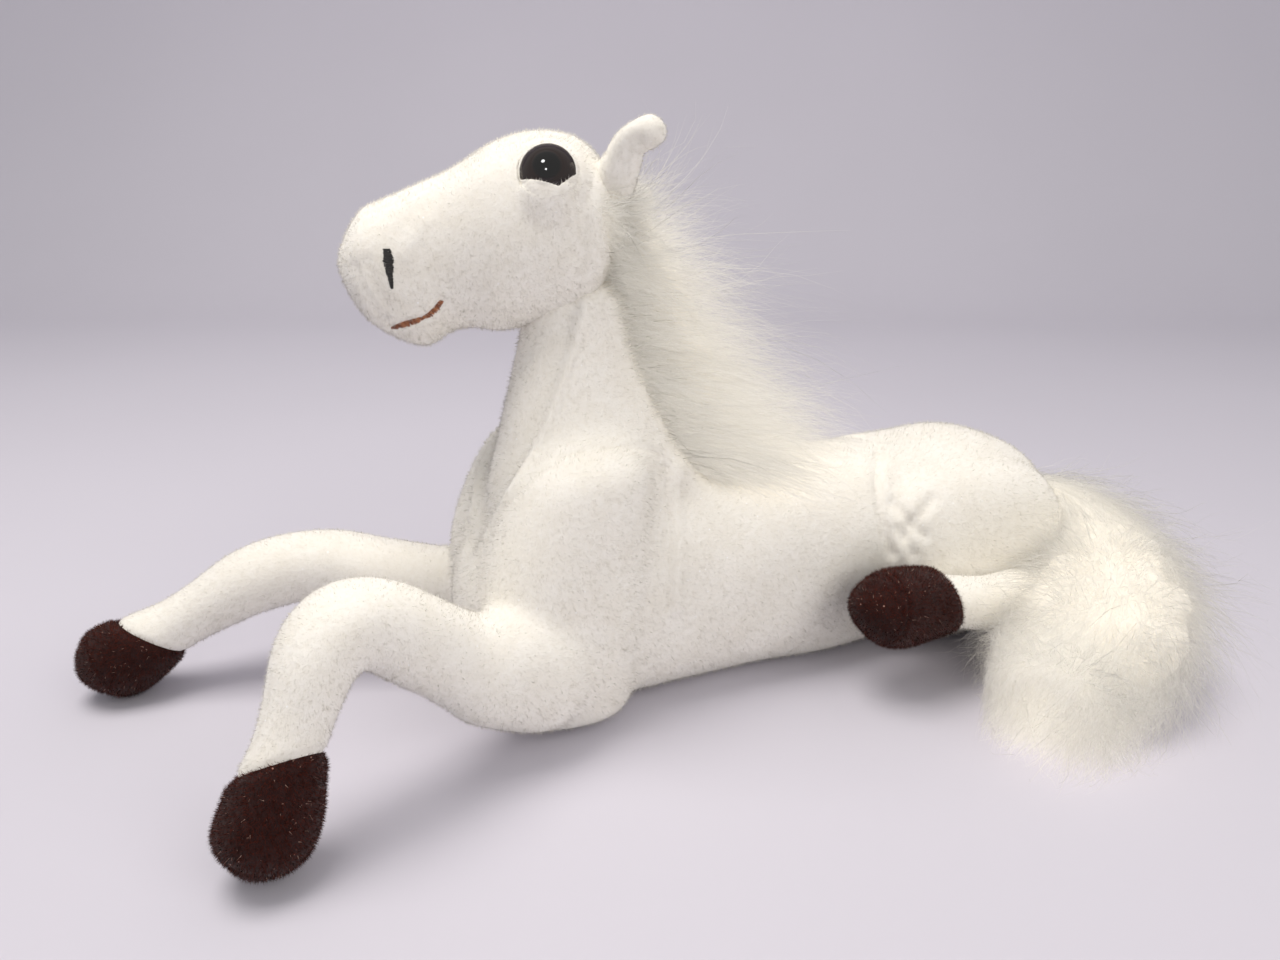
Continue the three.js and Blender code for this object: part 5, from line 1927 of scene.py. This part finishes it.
@dataclass
class Mane(Hair):
    """Long fur that stands back from the crest of the neck, over a matted ground."""

    # A guide of the mane: where its hair starts on the crest and where it ends, as x and z in millimetres
    guides: Rows = (
        (42, 226, 62, 243), (47, 210, 88, 226), (51, 190, 118, 198), (57, 166, 144, 166),
        (66, 142, 164, 134), (77, 120, 179, 110), (94, 107, 178, 95), (116, 103, 165, 92),
    )
    root_half: float = 20 * MM
    top: float = 252 * MM
    hold: float = 14 * MM
    poll_more: float = 6 * MM
    root_stray: float = 1.6 * MM
    droop: float = 9 * MM
    root_fore: float = -12 * MM
    tip_half: float = 25 * MM
    ground_wide: float = 38 * MM
    ground_rows: Rows = (
        (0, 0.2, -0.14, 0.26), (0.3, 0.5, -0.5, 0.5), (0.7, 0.5, -0.5, 0.5), (1, 0.26, -0.1, 0.4),
    )
    lock_shift: Triple = (8 * MM, 6 * MM, 12 * MM)
    wander: Pair = (11 * MM, 6 * MM)
    tip_fall: float = 18 * MM
    root_sink: float = 2 * MM
    # How far the crest leans to the right, and between which heights that begins
    lean: float = 6 * MM
    lean_heights: Pair = (100 * MM, 200 * MM)
    hills: Pair = (15 * MM, 1.4 * MM)
    tufts: Pair = (6 * MM, 0.5 * MM)

    def guide(self, places: Points) -> tuple[Points, Points]:
        """The root and the tip of the middle hair at some places from the poll to the withers."""
        table = np.array(self.guides) * MM
        stations = np.linspace(0, 1, len(table))
        x0, z0, x1, z1 = (np.interp(places, stations, table[:, k]) for k in range(4))
        lean = self.lean * ramp(z0, *self.lean_heights)
        return np.stack((x0, lean, z0), axis=-1), np.stack((x1, lean * 0.7, z1), axis=-1)

    def hairs(self, count: int, rng: np.random.Generator) -> tuple[Points, Points]:
        """Lines of some strands, gathered in locks, and the ways that they face."""
        places, across = rng.random(count) ** 0.9, rng.uniform(-1, 1, count)
        lock = np.column_stack((rng.random(self.clumps), rng.uniform(-1, 1, self.clumps)))
        shift = rng.normal(size=(self.clumps, 3)) * np.array(self.lock_shift)
        stretch = rng.uniform(0.7, 1.1, self.clumps)
        gaps = (places[:, None] - lock[None, :, 0]) ** 2 * 9 + (across[:, None] - lock[None, :, 1]) ** 2
        own = gaps.argmin(axis=1)
        gather = 0.72
        tip_place = places + (lock[own, 0] - places) * gather
        tip_across = across + (lock[own, 1] - across) * gather
        root, _ = self.guide(places)
        _, tip = self.guide(tip_place)
        wide = self.root_half + self.poll_more * (1 - ramp(places, 0.02, 0.2))
        moved = (self.root_fore * across**2, wide * across, -self.root_sink * across**2)
        root = root + np.stack(moved, axis=-1)
        root += rng.normal(size=(count, 3)) * self.root_stray
        length = (0.26 + 0.76 * rng.random(count) ** 3.0) * stretch[own]
        stray = rng.random(count) < 0.1
        length = np.where(stray, length * 1.2, length)
        fall = tip_across**2
        tip = tip + np.stack(
            (-0.2 * (tip - root)[:, 0] * fall, self.tip_half * tip_across, -self.tip_fall * fall), axis=-1
        )
        wander = np.where(stray, *self.wander)[:, None]
        tip = tip + shift[own] + rng.normal(size=(count, 3)) * wander
        tip = root + (tip - root) * length[:, None]
        reach = lengths(tip - root)[:, None]
        outward = np.stack((0.75 - 0.3 * across**2, 0.9 * across, 0.5 - 0.2 * across**2), axis=-1)
        outward = unit(outward + 0.25 * rng.normal(size=(count, 3)))
        middle = root + outward * reach * 0.5
        t = np.linspace(0, 1, self.steps)[None, :, None]
        lines = root[:, None] * (1 - t) ** 2 + 2 * middle[:, None] * t * (1 - t) + tip[:, None] * t**2
        lines[..., 2] -= self.droop * (across**2)[:, None] * t[..., 0] ** 2
        lines = self.curled(lines, stray, rng)
        lines[..., 2] = held(lines[..., 2], self.top, self.hold)
        return lines, unit(np.stack((0.3 * np.ones(count), across, 0.8 * np.ones(count)), axis=-1))

    def build(self, finishes: Finishes) -> None:
        """Make the ground and the strands."""
        places = np.linspace(0, 1, 28)
        root, tip = self.guide(places)
        middle = Path(root * 0.86 + tip * 0.14)
        high = 0.3 * lengths(tip - root).max()
        form = SoftForm(middle, FORWARD, self.ground_rows, high, self.ground_wide, (0.1, 0.14), 2.0)
        skin = form.shell(64, 70, 14)
        skin.lift(lumps(skin.points, *self.hills, 9) + lumps(skin.points, *self.tufts, 10))
        for part in self.grown("mane", skin, 100, finishes):
            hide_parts("mane")
            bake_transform(part)


@dataclass
class Tail(Hair):
    """A bushy switch of long fur, which curls from the rump round to the left."""

    length: float = 180 * MM
    deep: float = 70 * MM
    wide: float = 88 * MM
    root_shares: Triple = (0.955, -0.03, 0.66)
    path_shares: Sequence[Triple] = (
        (0, 0, 0), (0.056, -0.178, -0.078), (-0.017, -0.4, -0.172), (-0.239, -0.575, -0.206),
        (-0.46, -0.675, -0.228),
    )
    rows: Rows = (
        (0, 0.2, -0.2, 0.16), (0.16, 0.3, -0.3, 0.26), (0.4, 0.46, -0.44, 0.4), (0.7, 0.5, -0.46, 0.5),
        (1, 0.34, -0.38, 0.44),
    )
    pieces: int = 4
    clumps: int = 420
    curls: Pair = (5.5 * MM, 2.6 * MM)
    # The hair stops short of the hind hooves
    front: float = 196 * MM
    rear: float = 332 * MM
    aside: float = 160 * MM
    hold: float = 6 * MM
    uneven: float = 11 * MM
    # Beside the hoof's near side the hair reaches further forwards
    toe_more: float = 26 * MM
    past_hoof: Pair = (90 * MM, 122 * MM)
    wander: Pair = (9 * MM, 5.5 * MM)
    droop: float = 6 * MM
    core_in: float = 9 * MM
    floor_gap: float = 1.2 * MM
    ground_floor: float = 0.5 * MM
    hills: Pair = (20 * MM, 1.8 * MM)
    tufts: Pair = (7 * MM, 0.6 * MM)

    def form(self) -> SoftForm:
        """The tail's outer form."""
        root = FRAME.on_body(*self.root_shares)
        path = Path.smooth([root + np.array(share) * self.length for share in self.path_shares])
        return SoftForm(path, UP, self.rows, self.deep, self.wide, (0.06, 0.16), 2.0)

    def hairs(self, count: int, rng: np.random.Generator) -> tuple[Points, Points]:
        """Lines of strands that leave the core and flare outwards, and the ways that they face."""
        form = self.form()
        start = rng.uniform(0.0, 0.98, count)
        angle = rng.uniform(0, 2 * math.pi, count)
        locks = np.column_stack((rng.random(self.clumps), rng.uniform(0, 2 * math.pi, self.clumps)))
        turn = np.abs((angle[:, None] - locks[None, :, 1] + math.pi) % (2 * math.pi) - math.pi)
        own = ((start[:, None] - locks[None, :, 0]) ** 2 * 16 + turn**2).argmin(axis=1)
        shift = (rng.normal(size=(self.clumps, 3)) * 9 * MM)[own]
        run = rng.uniform(0.06, 0.3, count) * (1 + 0.5 * (1 - start))
        flare = 0.5 + 0.62 * rng.random(count) ** 1.4
        stray = rng.random(count) < 0.08
        flare = np.where(stray, flare * 1.15, flare)
        wander = rng.normal(size=(count, 3)) * np.where(stray, *self.wander)[:, None]
        lines = np.empty((count, self.steps, 3))
        for i, share in enumerate(np.linspace(0, 1, self.steps)):
            place = np.clip(start + run * share, 0, 1)
            centre, above, side = form.sections(place)
            out = np.cos(angle)[:, None] * side + np.sin(angle)[:, None] * above
            grown = (0.4 + (flare - 0.4) * math.sin(share * math.pi / 2))[:, None]
            over = np.maximum(start + run * share - 0.9, 0)[:, None] * self.length * form.path.ahead(place)
            lines[:, i] = centre + out * grown + over * 0.4 + (shift + wander) * share**1.5
            lines[:, i, 2] -= self.droop * share**2
        lines = self.curled(lines, stray, rng)
        low = self.floor_gap + rng.uniform(0, 4, count)[:, None] * MM
        lines[..., 2] = np.maximum(lines[..., 2], low)
        own_room = rng.uniform(0, 1, (count, 1)) * self.uneven
        front = self.front - self.toe_more * ramp(-lines[..., 1], *self.past_hoof)
        lines[..., 0] = -held(-lines[..., 0], -front - own_room, self.hold)
        lines[..., 0] = held(lines[..., 0], self.rear - own_room, self.hold)
        lines[..., 1] = -held(-lines[..., 1], self.aside - own_room, self.hold)
        centre, above, side = form.sections(np.clip(start + run * 0.6, 0, 1))
        return lines, unit(np.cos(angle)[:, None] * unit(side) + np.sin(angle)[:, None] * unit(above))

    def build(self, finishes: Finishes) -> None:
        """Make the ground and the strands."""
        skin = self.form().shell(72, 70, 18, grow=-self.core_in)
        skin.lift(lumps(skin.points, *self.hills, 13) + lumps(skin.points, *self.tufts, 14))
        skin.flatten(self.ground_floor)
        for part in self.grown("tail", skin, 200, finishes):
            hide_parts("tail")
            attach(part, "tail")


@dataclass
class Stuffing:
    """The pieces inside, which keep their solids: fillings and eye washers."""

    def dress(self, nodes: dict[str, Piece], finishes: Finishes) -> None:
        """Give each solid its material."""
        for name, node in nodes.items():
            material = finishes.wadding if "filling" in name else None
            if name.startswith("washer"):
                material = finishes.plastic
            if material is None:
                continue
            node.data.materials.clear()
            node.data.materials.append(material)


def new_lamp(name: str, shape: str, power: Pair, place: Vector, ahead: Vector) -> Piece:
    """Add an area lamp of some size and watts that shines along a direction."""
    data = bpy.data.lights.new(name, "AREA")
    data.shape = shape
    data.size, data.energy = power
    lamp = bpy.data.objects.new(name, data)
    lamp.location = place
    lamp.rotation_euler = ahead.to_track_quat("-Z", "Y").to_euler()
    bpy.context.scene.collection.objects.link(lamp)
    return lamp


@dataclass(frozen=True)
class Studio:
    """A plain pale floor that sweeps up into a backdrop, and soft light."""

    floor_colour: str = "#cfccd6"
    depth: float = 0.9
    wide: float = 4.0
    near: float = 2.2
    tall: float = 2.4
    bend: float = 0.5
    floor: float = -0.3 * MM
    key_watts: float = 11.5
    fill_watts: float = 6.5
    sky: str = "#ebeae9"
    sky_strength: float = 0.62
    # The eye's two highlights: pixel of the photograph, lamp diameter and power
    catches: Sequence[tuple[Spot, float, float]] = (((543, 161), 0.2, 2.2), ((546, 169), 0.13, 0.8))
    catch_away: float = 1.1
    aim: Triple = (0.06, -0.03, 0.08)

    def add_sweep(self) -> None:
        """Add the floor and backdrop as one curved sheet."""
        steps = 24
        profile = [(-self.near, self.floor), (self.depth, self.floor)]
        for i in range(1, steps + 1):
            angle = math.pi / 2 * i / steps
            profile.append((self.depth + self.bend * math.sin(angle), self.bend * (1 - math.cos(angle))))
        profile.append((self.depth + self.bend, self.tall))
        points, faces = [], []
        for y, z in profile:
            points += [(-self.wide, y, z), (self.wide, y, z)]
        for i in range(len(profile) - 1):
            faces.append([2 * i, 2 * i + 1, 2 * i + 3, 2 * i + 2])
        sweep = Shell(np.array(points), faces).add_object("studio_sweep")
        sweep.rotation_euler = (0, 0, math.radians(VIEW.azimuth))
        material, tree = new_material("matt paper sweep, pale lavender grey")
        place = add_node(tree, "TexCoord").outputs["Object"]
        grain = add_node(tree, "TexNoise", {"Vector": place, "Scale": 3.0, "Detail": 2.0})
        colour = add_node(
            tree, "Mix", {0: grain, 6: linear(self.floor_colour, 0.97), 7: linear(self.floor_colour, 1.03)},
            data_type="RGBA"
        )
        shader = add_node(
            tree, "BsdfPrincipled", {"Base Color": colour, "Roughness": 0.95, "Specular IOR Level": 0.1}
        )
        sweep.data.materials.append(finished(material, shader))

    def add_lamp(self, name: str, place: Triple, size: float, watts: float, colour: str) -> None:
        """Add one square soft lamp that points at the horse."""
        lamp = new_lamp(name, "SQUARE", (size, watts), Vector(place), Vector(self.aim) - Vector(place))
        lamp.data.color = linear(colour)[:3]
        lamp.visible_glossy = False

    def add_catchlight(self, name: str, spot: Spot, size: float, watts: float) -> None:
        """Add a small round lamp that shows in the left eye's dome and lights nothing else.

        Args:
            name: the lamp's name.
            spot: where the highlight is, as a pixel of the photograph.
            size: the lamp's diameter.
            watts: its power.
        """
        head = Head()
        seat, facing = head.eye_seat(Side.LEFT)
        arc = head.eye_arc
        middle = Vector(seat + facing * (head.eye_dome - arc))
        start, way = VIEW.ray(spot)
        away = start - middle
        half = away.dot(way)
        room = half**2 - away.length_squared + arc**2
        met = start + way * (-half - math.sqrt(max(room, 0)))
        normal = (met - middle).normalized()
        back = way - 2 * way.dot(normal) * normal
        lamp = new_lamp(name, "DISK", (size, watts), met + back * self.catch_away, -back)
        lamp.visible_diffuse = False
        lamp.visible_camera = False

    def build(self) -> None:
        """Add the sweep, the lamps and the surrounding light."""
        self.add_sweep()
        self.add_lamp("key_softbox", (-0.3, 0.1, 1.3), 0.7, self.key_watts, "#fffaf4")
        self.add_lamp("fill_softbox", (0.55, -1.2, 0.8), 1.1, self.fill_watts, "#fffaf4")
        for number, (spot, size, watts) in enumerate(self.catches):
            self.add_catchlight(f"catchlight_{number + 1}", spot, size, watts)
        world = bpy.data.worlds.new("soft_surround")
        bpy.context.scene.world = world
        world.use_nodes = True
        world.node_tree.nodes.clear()
        light = add_node(
            world.node_tree, "Background", {"Color": linear(self.sky), "Strength": self.sky_strength}
        )
        add_node(world.node_tree, "OutputWorld", {"Surface": light})
        bpy.context.scene.view_settings.view_transform = "Standard"


def main() -> None:
    """Build the whole horse and its studio."""
    logging.basicConfig(level=logging.INFO, format="%(name)s: %(message)s")
    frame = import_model()
    VIEW.add_camera()
    Studio().build()
    finishes = Finishes()
    Torso().build([Foreleg(side) for side in Side], finishes)
    Head().build(finishes)
    for side in Side:
        Ear(side).build(finishes)
        HindLeg(side).build(finishes)
    Mane().build(finishes)
    Tail().build(finishes)
    Stuffing().dress(frame["nodes"], finishes)


if __name__ == "__main__":
    main()
